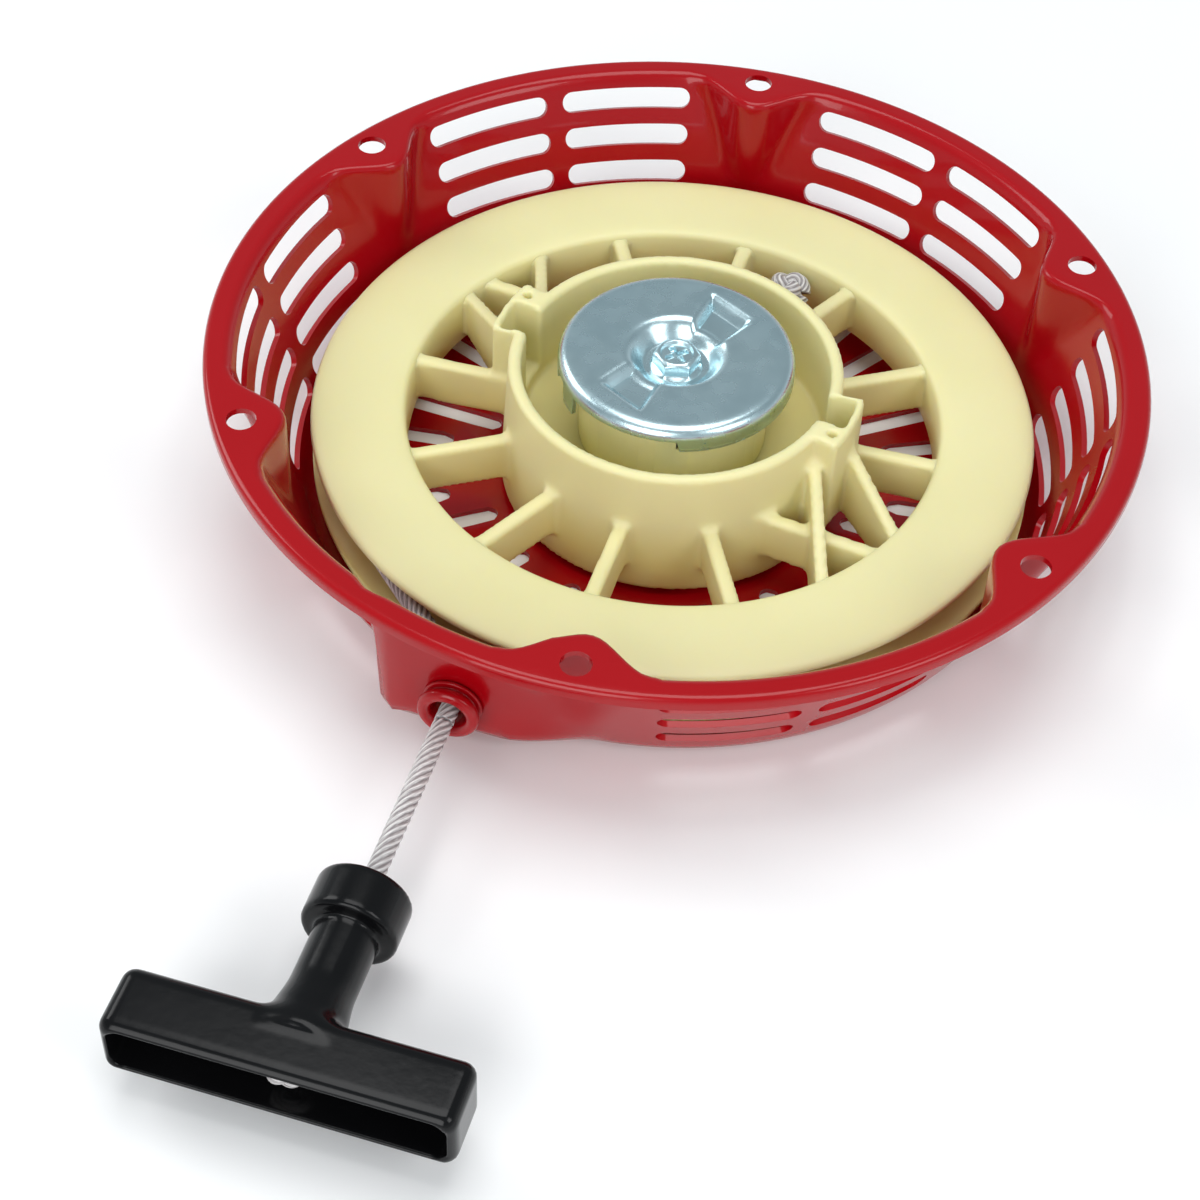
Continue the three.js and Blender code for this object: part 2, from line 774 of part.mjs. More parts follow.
// A flat pawl with a round eye and a wedge-shaped tip, drawn pointing along +X from its pivot.
function ratchetPawl(index, half) {
  const halfWidth = ratchet.width / 2;
  const tip = [
    [0, -halfWidth],
    [ratchet.length - 1, -halfWidth],
    [ratchet.length, -halfWidth + 1.6],
    [ratchet.length - 2.6, halfWidth],
    [0, halfWidth],
  ];
  const bottom = pocketFloor + gap;
  const top = bottom + ratchet.thickness;
  const eye = cylinder(ratchet.eyeRadius, bottom, top, 20);
  const hole = cylinder(ratchet.pinRadius + runningGap, bottom - 1, top + 1, 16);
  const pawl = meshOf(`ratchet_${index}`, eye.add(prism(tip, bottom, top)).subtract(hole), steel);
  const [x, y] = ratchetPivot(half);
  pawl.position.set(x, y, 0);
  pawl.rotation.z = radians(half + ratchet.pivotAngle + ratchet.stowedAngle);
  return pawl;
}

function ratchetSpring(index, half) {
  const radius = wire.ratchetSpring;
  const bottom = pocketFloor - ratchet.wellDepth + radius + gap;
  const top = pocketFloor - radius - gap;
  const coil = new Helix((ratchet.pinRadius + ratchet.wellRadius) / 2, bottom, top, wire.turns);
  const mesh = meshOf(`ratchet_spring_${index}`, tube(coil, radius, wire.sides, 24), springSteel);
  const [x, y] = ratchetPivot(half);
  mesh.position.set(x, y, 0);
  return mesh;
}

function ratchetGuide() {
  const { sheet, dimpleDepth } = guide;
  const [radius, top] = [guideRadius, guideTop];
  const under = top - sheet;
  const inner = radius - sheet;
  const bore = bolt.shankRadius + 2 * gap;
  const section = [
    [bore, recessFloor - sheet],
    [recessRadius + recessBend / 2, recessFloor - sheet],
    [recessRadius + recessBend, under],
    [radius, under],
    [radius, top - sheet / 4],
    [radius - sheet / 3, top],
    [recessRadius, top],
    [recessRadius - recessBend / 2, recessFloor],
    [bore, recessFloor],
    [bore, recessFloor - sheet],
  ];
  let plate = solid(lathe(section, 40));
  for (const half of [0, 180]) {
    const edge = (from, to, depth) =>
      sector(inner, radius, half + from, half + to, top - depth, under + sheet / 4);
    const skirt = edge(guide.skirtFrom, guide.skirtTo, guide.skirtDepth);
    const tab = edge(guide.tabFrom, guide.tabTo, guide.tabDepth);
    const start = polar(recessRadius - recessBend, half + guide.dimpleAngle);
    const end = polar(recessRadius + guide.dimpleReach, half + guide.dimpleAngle);
    const dimple = bar(start, end, guide.dimpleWidth, top - dimpleDepth, top + 1);
    plate = plate.add(skirt).add(tab).subtract(dimple);
  }
  return meshOf("ratchet_guide", plate, zinc);
}

function frictionSpring() {
  const radius = wire.frictionSpring;
  const bottom = counterboreFloor + radius + gap;
  const top = recessFloor - guide.sheet - radius - gap;
  const coil = new Helix((post.radius + counterbore) / 2, bottom, top, wire.turns);
  return meshOf("friction_spring", tube(coil, radius, wire.sides, 33), springSteel);
}

// ---------------------------------------------------------------- rope and grip

// From the reel, straight to a bend just inside the case, and through the eyelet in the line of the pull.
function ropeRun() {
  const clear = woundRadius + rope.radius + gap;
  const onAxis = (distance) => outletPoint.clone().addScaledVector(ropeAxis, distance);
  const bend = onAxis(-rope.bendBefore);
  const bendRadius = Math.hypot(bend.x, bend.y);
  const bendAngle = (Math.atan2(bend.y, bend.x) * 180) / Math.PI;
  const leaveAngle = bendAngle - (Math.acos(clear / bendRadius) * 180) / Math.PI;
  const leave = new THREE.Vector3(...polar(clear, leaveAngle), rope.height);
  const straight = bend.clone().sub(leave);
  const route = [
    ...[0, 0.3, 0.6, 0.9].map((share) => leave.clone().addScaledVector(straight, share)),
    onAxis(-0.45 * rope.bendBefore),
    ...[0, ropeFreeStart - 3, ropeFreeStart - gap].map(onAxis),
  ];
  return meshOf("rope_run", tube(new THREE.CatmullRomCurve3(route), rope.radius, 8, 20), cordNylon);
}

function ropeFree() {
  const start = outletPoint.clone().addScaledVector(ropeAxis, ropeFreeStart);
  const end = outletPoint.clone().addScaledVector(ropeAxis, collarFace - gap);
  return meshOf("rope_free", tube(new THREE.LineCurve3(start, end), rope.radius, 8, 6), cordNylon);
}

// The grip's own axis is its group's X axis, from the collar's face outwards, with its bar along Y.
function turnedAboutX(profile, facets) {
  return solid(lathe(profile, facets).rotateY(Math.PI / 2));
}

function roundedBar(length, thickness, corner, from, to) {
  const shape = new THREE.Shape();
  const [y, z] = [length / 2 - corner, thickness / 2 - corner];
  shape.absarc(y, z, corner, 0, Math.PI / 2, false);
  shape.absarc(-y, z, corner, Math.PI / 2, Math.PI, false);
  shape.absarc(-y, -z, corner, Math.PI, 1.5 * Math.PI, false);
  shape.absarc(y, -z, corner, 1.5 * Math.PI, 2 * Math.PI, false);
  const depth = to - from;
  const raised = new THREE.ExtrudeGeometry(shape, { depth, bevelEnabled: false, curveSegments: 4 });
  raised.rotateX(Math.PI / 2).rotateZ(Math.PI / 2);
  return solid(raised.translate(from, 0, 0));
}

function pullGrip() {
  const { collarRadius, collarLength, neckRadius, barStart, barDepth, barLength, barThickness } = grip;
  const barEnd = barStart + barDepth;
  const stem = [
    [0, 0],
    [collarRadius - 1, 0],
    [collarRadius, 1],
    [collarRadius, collarLength - 0.8],
    [collarRadius - 0.8, collarLength],
    [neckRadius, collarLength],
    [neckRadius, barStart - 5],
    [neckRadius + 0.9, barStart + 1],
    [0, barStart + 1],
  ];
  const outside = roundedBar(barLength, barThickness, grip.corner, barStart, barEnd);
  const inner = [barLength - 2 * grip.wall, barThickness - 2 * grip.wall, grip.corner - grip.wall];
  const hollow = roundedBar(...inner, barEnd - grip.hollowDepth, barEnd + 1);
  const bore = [
    [0, -1],
    [rope.radius + grip.ropeClearance, -1],
    [rope.radius + grip.ropeClearance, barEnd],
    [0, barEnd],
  ];
  const body = turnedAboutX(stem, 28).add(outside).subtract(hollow).subtract(turnedAboutX(bore, 12));
  return meshOf("pull_grip", body, blackPlastic);
}

function gripRope() {
  const end = grip.barStart + grip.barDepth - grip.hollowDepth;
  const section = [
    [0, 0],
    [rope.radius, 0],
    [rope.radius, end],
    [0, end],
  ];
  return meshOf("grip_rope", turnedAboutX(section, 8), cordNylon);
}

function gripKnot() {
  const ball = new THREE.SphereGeometry(grip.knotRadius, 12, 8);
  const mesh = meshOf("grip_knot", solid(ball), cordNylon);
  mesh.position.x = grip.barStart + grip.barDepth - grip.hollowDepth + gap + grip.knotRadius;
  return mesh;
}

// ---------------------------------------------------------------- assembly

const starter = new THREE.Group();

const caseGroup = new THREE.Group();
caseGroup.add(starterCase(), ropeEyelet(), reelPost(), springHook(), centerBolt());
caseGroup.add(ropeRun(), spiralSpring());

const reelGroup = new THREE.Group();
reelGroup.add(reelBody(), reelCup(), reelHub(), woundRope(), reelKnot());
reelGroup.add(ratchetSpring(1, 0), ratchetSpring(2, 180));

const ratchetGroup = new THREE.Group();
ratchetGroup.add(ratchetPawl(1, 0), ratchetPawl(2, 180), ratchetGuide(), frictionSpring());

const gripGroup = new THREE.Group();
gripGroup.add(pullGrip(), gripRope(), gripKnot());
gripGroup.position.copy(outletPoint).addScaledVector(ropeAxis, collarFace);
gripGroup.rotation.z = radians(outlet.pullAngle);

starter.add(caseGroup, reelGroup, ratchetGroup, gripGroup, ropeFree());

export default starter;
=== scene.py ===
# %% [markdown]
# # A recoil starter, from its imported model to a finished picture
#
# A recoil starter turns a small engine over: a grip and a rope, a reel that the rope is wound on, a
# return spring, and a ratchet head that catches the engine's cup. All of it sits in a pressed steel bowl.
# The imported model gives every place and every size. Each step below makes one piece or one finish on it.

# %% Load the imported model
import math

import bmesh
import bpy
import numpy as np
from mathutils import Matrix, Vector


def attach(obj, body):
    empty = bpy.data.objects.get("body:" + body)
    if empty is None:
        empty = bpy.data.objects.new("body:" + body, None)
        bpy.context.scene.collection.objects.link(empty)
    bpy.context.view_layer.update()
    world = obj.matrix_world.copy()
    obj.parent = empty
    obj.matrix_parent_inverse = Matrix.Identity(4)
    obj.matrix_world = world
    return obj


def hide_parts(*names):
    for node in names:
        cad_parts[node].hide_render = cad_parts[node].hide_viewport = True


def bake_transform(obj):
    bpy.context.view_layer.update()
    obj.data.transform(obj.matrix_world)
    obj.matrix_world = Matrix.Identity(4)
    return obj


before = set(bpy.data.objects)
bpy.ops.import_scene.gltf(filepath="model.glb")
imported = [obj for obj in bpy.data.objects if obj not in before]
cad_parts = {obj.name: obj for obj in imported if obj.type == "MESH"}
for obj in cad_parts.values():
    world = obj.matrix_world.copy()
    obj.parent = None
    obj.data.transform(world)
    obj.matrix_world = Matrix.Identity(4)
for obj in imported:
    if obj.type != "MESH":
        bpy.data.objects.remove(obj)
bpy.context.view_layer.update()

# %% [markdown]
# ## Camera
#
# A camera could be aimed with a Track To constraint, but a turned picture needs its own roll as well. So
# the camera's three axes are worked out: first an orbit at a height angle, then three small turns of the
# camera in its own frame, then the swing of the whole orbit round the starter.

# %% Camera
def turn(axis, degrees):
    """A 3x3 turn about one axis."""
    return Matrix.Rotation(math.radians(degrees), 3, axis)


rim_height = 0.046
orbit = {"distance": 0.59275, "height": 41.586, "swing": 8.93}
own_turns = {"Y": 1.362, "X": -6.104, "Z": 4.051}

rise = math.radians(orbit["height"])
back = Vector((0, -math.cos(rise), math.sin(rise)))
right = Vector((1, 0, 0))
axes = Matrix((right, back.cross(right), back)).transposed()
facing = turn("Z", orbit["swing"]) @ axes
for axis, degrees in own_turns.items():
    facing = facing @ turn(axis, degrees)
place = turn("Z", orbit["swing"]) @ (back * orbit["distance"]) + Vector((0, 0, rim_height))

camera = bpy.data.objects.new("camera", bpy.data.cameras.new("camera"))
camera.data.lens = 74.53
camera.data.sensor_width = 36
camera.matrix_world = Matrix.Translation(place) @ facing.to_4x4()
bpy.context.scene.collection.objects.link(camera)
bpy.context.scene.camera = camera
print("camera at", [round(v, 3) for v in camera.location])

# %% [markdown]
# ## Floor and light
#
# The starter lies on a plain white sheet in soft light. A bright surround all over would light it
# evenly, but gloss paint and plated steel mirror it and turn pale. So the surround is a dim blue grey, a
# little brighter near the horizon, and four wide lamps give most of the light: one overhead, one in
# front and one at each side.

# %% Floor, surround and lamps
floor_mesh = bpy.data.meshes.new("floor")
floor_mesh.from_pydata([(-6, -6, 0), (6, -6, 0), (6, 6, 0), (-6, 6, 0)], [], [(0, 1, 2, 3)])
floor = bpy.data.objects.new("floor", floor_mesh)
bpy.context.scene.collection.objects.link(floor)

sheet = bpy.data.materials.new("white_sheet")
sheet.use_nodes = True
sheet_shader = sheet.node_tree.nodes["Principled BSDF"]
sheet_shader.inputs["Base Color"].default_value = (0.93, 0.93, 0.93, 1)
sheet_shader.inputs["Roughness"].default_value = 0.9
sheet_shader.inputs["Specular IOR Level"].default_value = 0.1
floor_mesh.materials.append(sheet)

world = bpy.data.worlds.new("surround")
bpy.context.scene.world = world
world.use_nodes = True
sky = world.node_tree
sky_way = sky.nodes.new("ShaderNodeTexCoord")
sky_split = sky.nodes.new("ShaderNodeSeparateXYZ")
sky_ramp = sky.nodes.new("ShaderNodeValToRGB")
sky_ramp.color_ramp.elements[0].color = (0.75, 0.78, 0.80, 1)
sky_ramp.color_ramp.elements[1].color = (0.30, 0.34, 0.36, 1)
sky_ramp.color_ramp.elements[1].position = 0.45
sky.links.new(sky_way.outputs["Generated"], sky_split.inputs["Vector"])
sky.links.new(sky_split.outputs["Z"], sky_ramp.inputs["Fac"])
sky.links.new(sky_ramp.outputs["Color"], sky.nodes["Background"].inputs["Color"])
sky.nodes["Background"].inputs["Strength"].default_value = 1


def lamp(name, place, aim, size, power):
    """A square area lamp at a place, turned towards a point."""
    data = bpy.data.lights.new(name, "AREA")
    data.shape = "SQUARE"
    data.size = size
    data.energy = power
    made = bpy.data.objects.new(name, data)
    made.location = place
    made.rotation_euler = (Vector(aim) - Vector(place)).to_track_quat("-Z", "Y").to_euler()
    bpy.context.scene.collection.objects.link(made)
    return made


lamp("lamp_overhead", (0.0, 0.1, 1.4), (0, 0, 0), 0.9, 8.5)
lamp("lamp_front", (-0.25, -1.2, 0.75), (0, 0, 0), 0.8, 8)
lamp("lamp_left", (-1.0, 0.3, 0.8), (0, 0, 0), 0.6, 4)
lamp("lamp_right", (1.0, -0.5, 0.9), (0, 0, 0), 0.6, 4.5)
bpy.context.scene.view_settings.view_transform = "Standard"
bpy.context.scene.view_settings.look = "None"

# %% [markdown]
# ## Effects that several finishes share
#
# No real surface is one even value. Two small node groups carry that. `mottle` is a soft cloud of values
# between 0 and 1, for slight changes of colour and gloss. `relief` turns fine noise into a surface normal,
# for orange peel in paint, mould grain in plastic or the grain of plated steel. They are groups because
# every finish uses them, each with its own values.

# %% Node groups
def shader_group(name, inputs, output, output_kind):
    """A node group with float inputs, given as {name: value}, and one output."""
    group = bpy.data.node_groups.new(name, "ShaderNodeTree")
    for label, value in inputs.items():
        socket = group.interface.new_socket(label, in_out="INPUT", socket_type="NodeSocketFloat")
        socket.default_value = value
    group.interface.new_socket(output, in_out="OUTPUT", socket_type=output_kind)
    return group, group.nodes.new("NodeGroupInput"), group.nodes.new("NodeGroupOutput")


def noise_in(group, given):
    """A noise texture on Object coordinates, with its Scale and Detail taken from the group's inputs."""
    where = group.nodes.new("ShaderNodeTexCoord")
    noise = group.nodes.new("ShaderNodeTexNoise")
    group.links.new(where.outputs["Object"], noise.inputs["Vector"])
    group.links.new(given.outputs["Scale"], noise.inputs["Scale"])
    group.links.new(given.outputs["Detail"], noise.inputs["Detail"])
    return noise


mottle, given, result = shader_group(
    "mottle", {"Scale": 40, "Detail": 3, "Contrast": 2}, "Value", "NodeSocketFloat"
)
noise = noise_in(mottle, given)
centre = mottle.nodes.new("ShaderNodeMath")
centre.operation = "SUBTRACT"
centre.inputs[1].default_value = 0.5
spread = mottle.nodes.new("ShaderNodeMath")
spread.operation = "MULTIPLY_ADD"
spread.inputs[2].default_value = 0.5
spread.use_clamp = True
mottle.links.new(noise.outputs["Fac"], centre.inputs[0])
mottle.links.new(centre.outputs[0], spread.inputs[0])
mottle.links.new(given.outputs["Contrast"], spread.inputs[1])
mottle.links.new(spread.outputs[0], result.inputs["Value"])

relief, given, result = shader_group(
    "relief", {"Scale": 600, "Detail": 2, "Depth": 0.00002}, "Normal", "NodeSocketVector"
)
noise = noise_in(relief, given)
bump = relief.nodes.new("ShaderNodeBump")
bump.inputs["Strength"].default_value = 1
relief.links.new(noise.outputs["Fac"], bump.inputs["Height"])
relief.links.new(given.outputs["Depth"], bump.inputs["Distance"])
relief.links.new(bump.outputs["Normal"], result.inputs["Normal"])
print("groups:", sorted(g.name for g in bpy.data.node_groups))

# %% [markdown]
# ## A helper for finishes
#
# Each finish is one Principled BSDF. Values that are the same all over go straight onto its sockets.
# Its colour runs between two shades, and its roughness between two values, each by its own mottle.

# %% Finish helper
def place_group(tree, group, **values):
    """The group's node in a material, with its inputs set."""
    node = tree.nodes.new("ShaderNodeGroup")
    node.node_tree = group
    for label, value in values.items():
        node.inputs[label].default_value = value
    return node


def shade_between(tree, factor, first, second):
    """A colour that runs from the first shade to the second by a factor."""
    mix = tree.nodes.new("ShaderNodeMix")
    mix.data_type = "RGBA"
    mix.inputs["A"].default_value = (*first, 1)
    mix.inputs["B"].default_value = (*second, 1)
    tree.links.new(factor, mix.inputs["Factor"])
    return mix.outputs["Result"]


def value_between(tree, factor, first, second):
    """A number that runs from the first value to the second by a factor from 0 to 1."""
    ramp = tree.nodes.new("ShaderNodeMapRange")
    ramp.inputs["To Min"].default_value = first
    ramp.inputs["To Max"].default_value = second
    tree.links.new(factor, ramp.inputs["Value"])
    return ramp.outputs["Result"]


def finish(name, shades, roughness, colour_scale, gloss_scale, grain, depth, **sockets):
    """A material: two shades, two roughness values, the scales of both mottles, and a fine relief."""
    made = bpy.data.materials.new(name)
    made.use_nodes = True
    tree = made.node_tree
    shader = tree.nodes["Principled BSDF"]
    clouds = place_group(tree, mottle, Scale=colour_scale, Detail=3, Contrast=1.3)
    haze = place_group(tree, mottle, Scale=gloss_scale, Detail=4, Contrast=1.5)
    fine = place_group(tree, relief, Scale=grain, Detail=2, Depth=depth)
    tree.links.new(shade_between(tree, clouds.outputs["Value"], *shades), shader.inputs["Base Color"])
    tree.links.new(value_between(tree, haze.outputs["Value"], *roughness), shader.inputs["Roughness"])
    tree.links.new(fine.outputs["Normal"], shader.inputs["Normal"])
    for label, value in sockets.items():
        shader.inputs[label.replace("_", " ")].default_value = value
    return made


print("every finish uses the groups", mottle.name, "and", relief.name)

# %% [markdown]
# ## Paint, plating, steel and black plastic
#
# The case has one thick coat of deep red gloss, so a clear coat over a strong red does it. The guide and
# the bolt are zinc plated: a metal with a slightly blue tint. Springs and ratchets are plain steel. The
# grip is glossy black plastic straight from a polished mould.

# %% Opaque finishes
case_paint = finish(
    "case_paint",
    shades=((0.35, 0.0006, 0.0035), (0.38, 0.0009, 0.0050)),
    roughness=(0.2, 0.25),
    colour_scale=30,
    gloss_scale=60,
    grain=500,
    depth=0.00003,
    Specular_IOR_Level=0.22,
    Coat_Weight=0.3,
    Coat_Roughness=0.04,
)
zinc_plate = finish(
    "zinc_plate",
    shades=((0.58, 0.76, 0.82), (0.68, 0.85, 0.89)),
    roughness=(0.2, 0.34),
    colour_scale=60,
    gloss_scale=140,
    grain=900,
    depth=0.00002,
    Metallic=1.0,
)
bare_steel = finish(
    "bare_steel",
    shades=((0.30, 0.30, 0.31), (0.42, 0.42, 0.43)),
    roughness=(0.3, 0.45),
    colour_scale=120,
    gloss_scale=200,
    grain=1200,
    depth=0.00003,
    Metallic=1.0,
)
spring_steel = finish(
    "spring_steel",
    shades=((0.10, 0.11, 0.14), (0.17, 0.17, 0.20)),
    roughness=(0.25, 0.4),
    colour_scale=100,
    gloss_scale=160,
    grain=1200,
    depth=0.00002,
    Metallic=1.0,
)
grip_plastic = finish(
    "grip_plastic",
    shades=((0.003, 0.003, 0.0034), (0.006, 0.006, 0.0066)),
    roughness=(0.12, 0.22),
    colour_scale=60,
    gloss_scale=90,
    grain=350,
    depth=0.00002,
    Specular_IOR_Level=0.22,
)
print("opaque finishes:", [m.name for m in (case_paint, zinc_plate, bare_steel, spring_steel, grip_plastic)])

# %% [markdown]
# ## Cream nylon
#
# The reel is moulded in natural nylon. Light goes a few millimetres into it, so thin webs glow a little
# and shadows inside it turn warm. Subsurface scattering does that. Low down in the reel the colour is also
# painted darker and yellower, as painted shade in its recesses, so the shade follows the height too.

# %% Reel nylon
reel_nylon = finish(
    "reel_nylon",
    shades=((0.77, 0.715, 0.37), (0.81, 0.755, 0.42)),
    roughness=(0.36, 0.5),
    colour_scale=25,
    gloss_scale=50,
    grain=700,
    depth=0.00002,
    Subsurface_Weight=0.35,
    Subsurface_Radius=(1.0, 0.75, 0.35),
    Subsurface_Scale=0.004,
)


def paint_shade_below(material, low, high, deep):
    """Painted shade: multiplies the colour by a darker, yellower tint below a height, in metres, fading out
    at a higher one.
    """
    tree = material.node_tree
    shader = tree.nodes["Principled BSDF"]
    plain = shader.inputs["Base Color"].links[0].from_socket
    where = tree.nodes.new("ShaderNodeTexCoord")
    split = tree.nodes.new("ShaderNodeSeparateXYZ")
    span = tree.nodes.new("ShaderNodeMapRange")
    span.inputs["From Min"].default_value = high
    span.inputs["From Max"].default_value = low
    # Painted shade: the darker, yellower tint multiplied into the colour low in the reel.
    painted_shade = tree.nodes.new("ShaderNodeMix")
    painted_shade.data_type = "RGBA"
    painted_shade.blend_type = "MULTIPLY"
    painted_shade.inputs["B"].default_value = (*deep, 1)
    tree.links.new(where.outputs["Object"], split.inputs["Vector"])
    tree.links.new(split.outputs["Z"], span.inputs["Value"])
    tree.links.new(span.outputs["Result"], painted_shade.inputs["Factor"])
    tree.links.new(plain, painted_shade.inputs["A"])
    tree.links.new(painted_shade.outputs["Result"], shader.inputs["Base Color"])


# Painted shade: from 24 mm down to 11 mm the nylon is painted darker and yellower, low in the reel.
paint_shade_below(reel_nylon, low=0.011, high=0.024, deep=(0.96, 0.88, 0.62))
print("nylon finish:", reel_nylon.name)

# %% [markdown]
# ## Rope nylon
#
# Rope yarn is a bundle of clear fibres: white where many fibres scatter the light, grey where one looks
# through them. The colour follows the rope's own strand map: fine fibres run along each strand, and the
# colour is painted darker towards the grooves between the strands, as painted shade.

# %% Rope finish
rope_nylon = finish(
    "rope_nylon",
    shades=((0.66, 0.63, 0.62), (0.86, 0.85, 0.84)),
    roughness=(0.14, 0.3),
    colour_scale=400,
    gloss_scale=300,
    grain=2500,
    depth=0.00004,
    Subsurface_Weight=0.3,
    Subsurface_Radius=(1.0, 1.0, 1.0),
    Subsurface_Scale=0.001,
)


def add_fibres_and_groove_shade(material, across, along, depth):
    """Fine lines along each strand: noise on the strand map, close across it and long along it. The colour is
    also painted darker towards the grooves between strands, as painted shade.
    """
    tree = material.node_tree
    shader = tree.nodes["Principled BSDF"]
    strand_map = tree.nodes.new("ShaderNodeUVMap")
    strand_map.uv_map = "strands"
    stretch = tree.nodes.new("ShaderNodeMapping")
    stretch.inputs["Scale"].default_value = (across, along, 1)
    fibres = tree.nodes.new("ShaderNodeTexNoise")
    fibres.inputs["Scale"].default_value = 1
    fibres.inputs["Detail"].default_value = 2
    bump = tree.nodes.new("ShaderNodeBump")
    bump.inputs["Distance"].default_value = depth
    tree.links.new(strand_map.outputs["UV"], stretch.inputs["Vector"])
    tree.links.new(stretch.outputs["Vector"], fibres.inputs["Vector"])
    tree.links.new(fibres.outputs["Fac"], bump.inputs["Height"])
    tree.links.new(bump.outputs["Normal"], shader.inputs["Normal"])
    # Painted shade: the colour runs dark towards each groove between strands and light at each strand's
    # middle, with fibre noise on top.
    split = tree.nodes.new("ShaderNodeSeparateXYZ")
    groove = tree.nodes.new("ShaderNodeMath")
    groove.operation = "PINGPONG"
    groove.inputs[1].default_value = 0.5
    fibres_less_groove_shade = tree.nodes.new("ShaderNodeMath")
    fibres_less_groove_shade.operation = "MULTIPLY_ADD"
    fibres_less_groove_shade.inputs[1].default_value = -1.1
    fibres_less_groove_shade.use_clamp = True
    tree.links.new(strand_map.outputs["UV"], split.inputs["Vector"])
    tree.links.new(split.outputs["X"], groove.inputs[0])
    tree.links.new(groove.outputs[0], fibres_less_groove_shade.inputs[0])
    tree.links.new(fibres.outputs["Fac"], fibres_less_groove_shade.inputs[2])
    fibre_and_groove_shade = value_between(tree, fibres_less_groove_shade.outputs[0], 0.0, 1.7)
    shade = shade_between(tree, fibre_and_groove_shade, (0.28, 0.25, 0.25), (0.84, 0.82, 0.81))
    tree.links.new(shade, shader.inputs["Base Color"])


add_fibres_and_groove_shade(rope_nylon, across=6, along=0.5, depth=0.00015)
print("rope finish:", rope_nylon.name)

# %% [markdown]
# ## Helpers for pieces
#
# Lengths are written in millimetres, as on a drawing, and go into the mesh as metres. Most pieces are grids:
# rows and columns of points from a function of two parameters. A grid can be closed round in either
# direction. Turned pieces are a profile carried round an axis.

# %% Piece helpers
MM = 0.001


def piece(name, points, faces, material, body, uv=None):
    """A mesh piece from points in millimetres, shaded smooth, that rides with a body."""
    mesh = bpy.data.meshes.new(name)
    mesh.from_pydata((np.asarray(points, float) * MM).tolist(), [], [list(map(int, f)) for f in faces])
    mesh.materials.append(material)
    mesh.polygons.foreach_set("use_smooth", np.ones(len(mesh.polygons), bool))
    if uv is not None:
        mesh.uv_layers.new(name="strands").data.foreach_set("uv", np.asarray(uv, np.float32).ravel())
    made = bpy.data.objects.new(name, mesh)
    bpy.context.scene.collection.objects.link(made)
    if body:
        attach(made, body)
    return made


def outward(made):
    """Turns the faces of a closed mesh outwards."""
    solid = bmesh.new()
    solid.from_mesh(made.data)
    bmesh.ops.recalc_face_normals(solid, faces=solid.faces)
    solid.to_mesh(made.data)
    solid.free()
    return made


def grid_faces(rows, columns, close_rows=False, close_columns=True):
    """The quads of a grid of rows x columns points, closed round where asked."""
    i = np.arange(rows if close_rows else rows - 1)
    j = np.arange(columns if close_columns else columns - 1)
    i, j = [part.ravel() for part in np.meshgrid(i, j, indexing="ij")]
    i_next, j_next = (i + 1) % rows, (j + 1) % columns
    corners = [i * columns + j, i * columns + j_next, i_next * columns + j_next, i_next * columns + j]
    return np.stack(corners, axis=1)


def turned(profile, around):
    """Points (radius cos t, radius sin t, height) for a profile of (radius, height) pairs, t evenly round."""
    t = np.linspace(0, 2 * np.pi, around, endpoint=False)
    radius, height = np.asarray(profile, float).T
    x = radius[:, None] * np.cos(t)
    y = radius[:, None] * np.sin(t)
    z = np.broadcast_to(height[:, None], x.shape)
    return np.stack([x, y, z], axis=-1).reshape(-1, 3)


def rounded(profile, radius, steps=5, closed=True):
    """The profile with each corner replaced by a quadratic curve that starts a radius before the corner."""
    corners = np.asarray(profile, float)
    t = np.linspace(0, 1, steps + 1)[:, None]
    out = []
    for i, corner in enumerate(corners):
        if not closed and i in (0, len(corners) - 1):
            out.append(corner[None])
            continue
        before, after = corners[i - 1] - corner, corners[(i + 1) % len(corners)] - corner
        reach = [min(radius, np.linalg.norm(side) * 0.45) / np.linalg.norm(side) for side in (before, after)]
        start, end = corner + before * reach[0], corner + after * reach[1]
        out.append((1 - t) ** 2 * start + 2 * t * (1 - t) * corner + t**2 * end)
    return np.concatenate(out)


def smooth_step(t):
    """0 below 0, 1 above 1, and half a cosine wave between."""
    return 0.5 - 0.5 * np.cos(np.pi * np.clip(t, 0, 1))


def degrees_between(a, b):
    """The signed angle from b to a, in degrees."""
    return (np.asarray(a) - b + 180) % 360 - 180


def polar(radius, degrees):
    """The point at a radius and an angle in degrees."""
    return radius * math.cos(math.radians(degrees)), radius * math.sin(math.radians(degrees))


def round_axis(radius, degrees, z):
    """Points (radius cos t, radius sin t, z) for arrays of radii, angles in degrees and heights."""
    t = np.radians(degrees)
    return np.stack(np.broadcast_arrays(radius * np.cos(t), radius * np.sin(t), z), axis=-1)


print("helpers are ready")

# %% [markdown]
# ## The rope
#
# The rope is laid from eight strands. It could be a smooth tube with a bump, but its outline shows
# against the white sheet, so the strands are real: the tube's radius rises and falls round the rope, and
# that pattern turns as it goes along. Each strand is a circle seen end on, cut where it meets the next one.
#
# The same surface makes five pieces: the free rope at the grip, the rope from the reel through the
# eyelet, the two outer turns wound on the reel and the two knots. The turns underneath are a plain ring.

# %% Rope surface
rope = {"radius": 2.25, "height": 17.6, "strands": 8, "lay": 18.5}
pull_angle = -94
axis = np.array([*polar(1, pull_angle), 0])
outlet_point = np.array([-28.726, -98.235, rope["height"]])


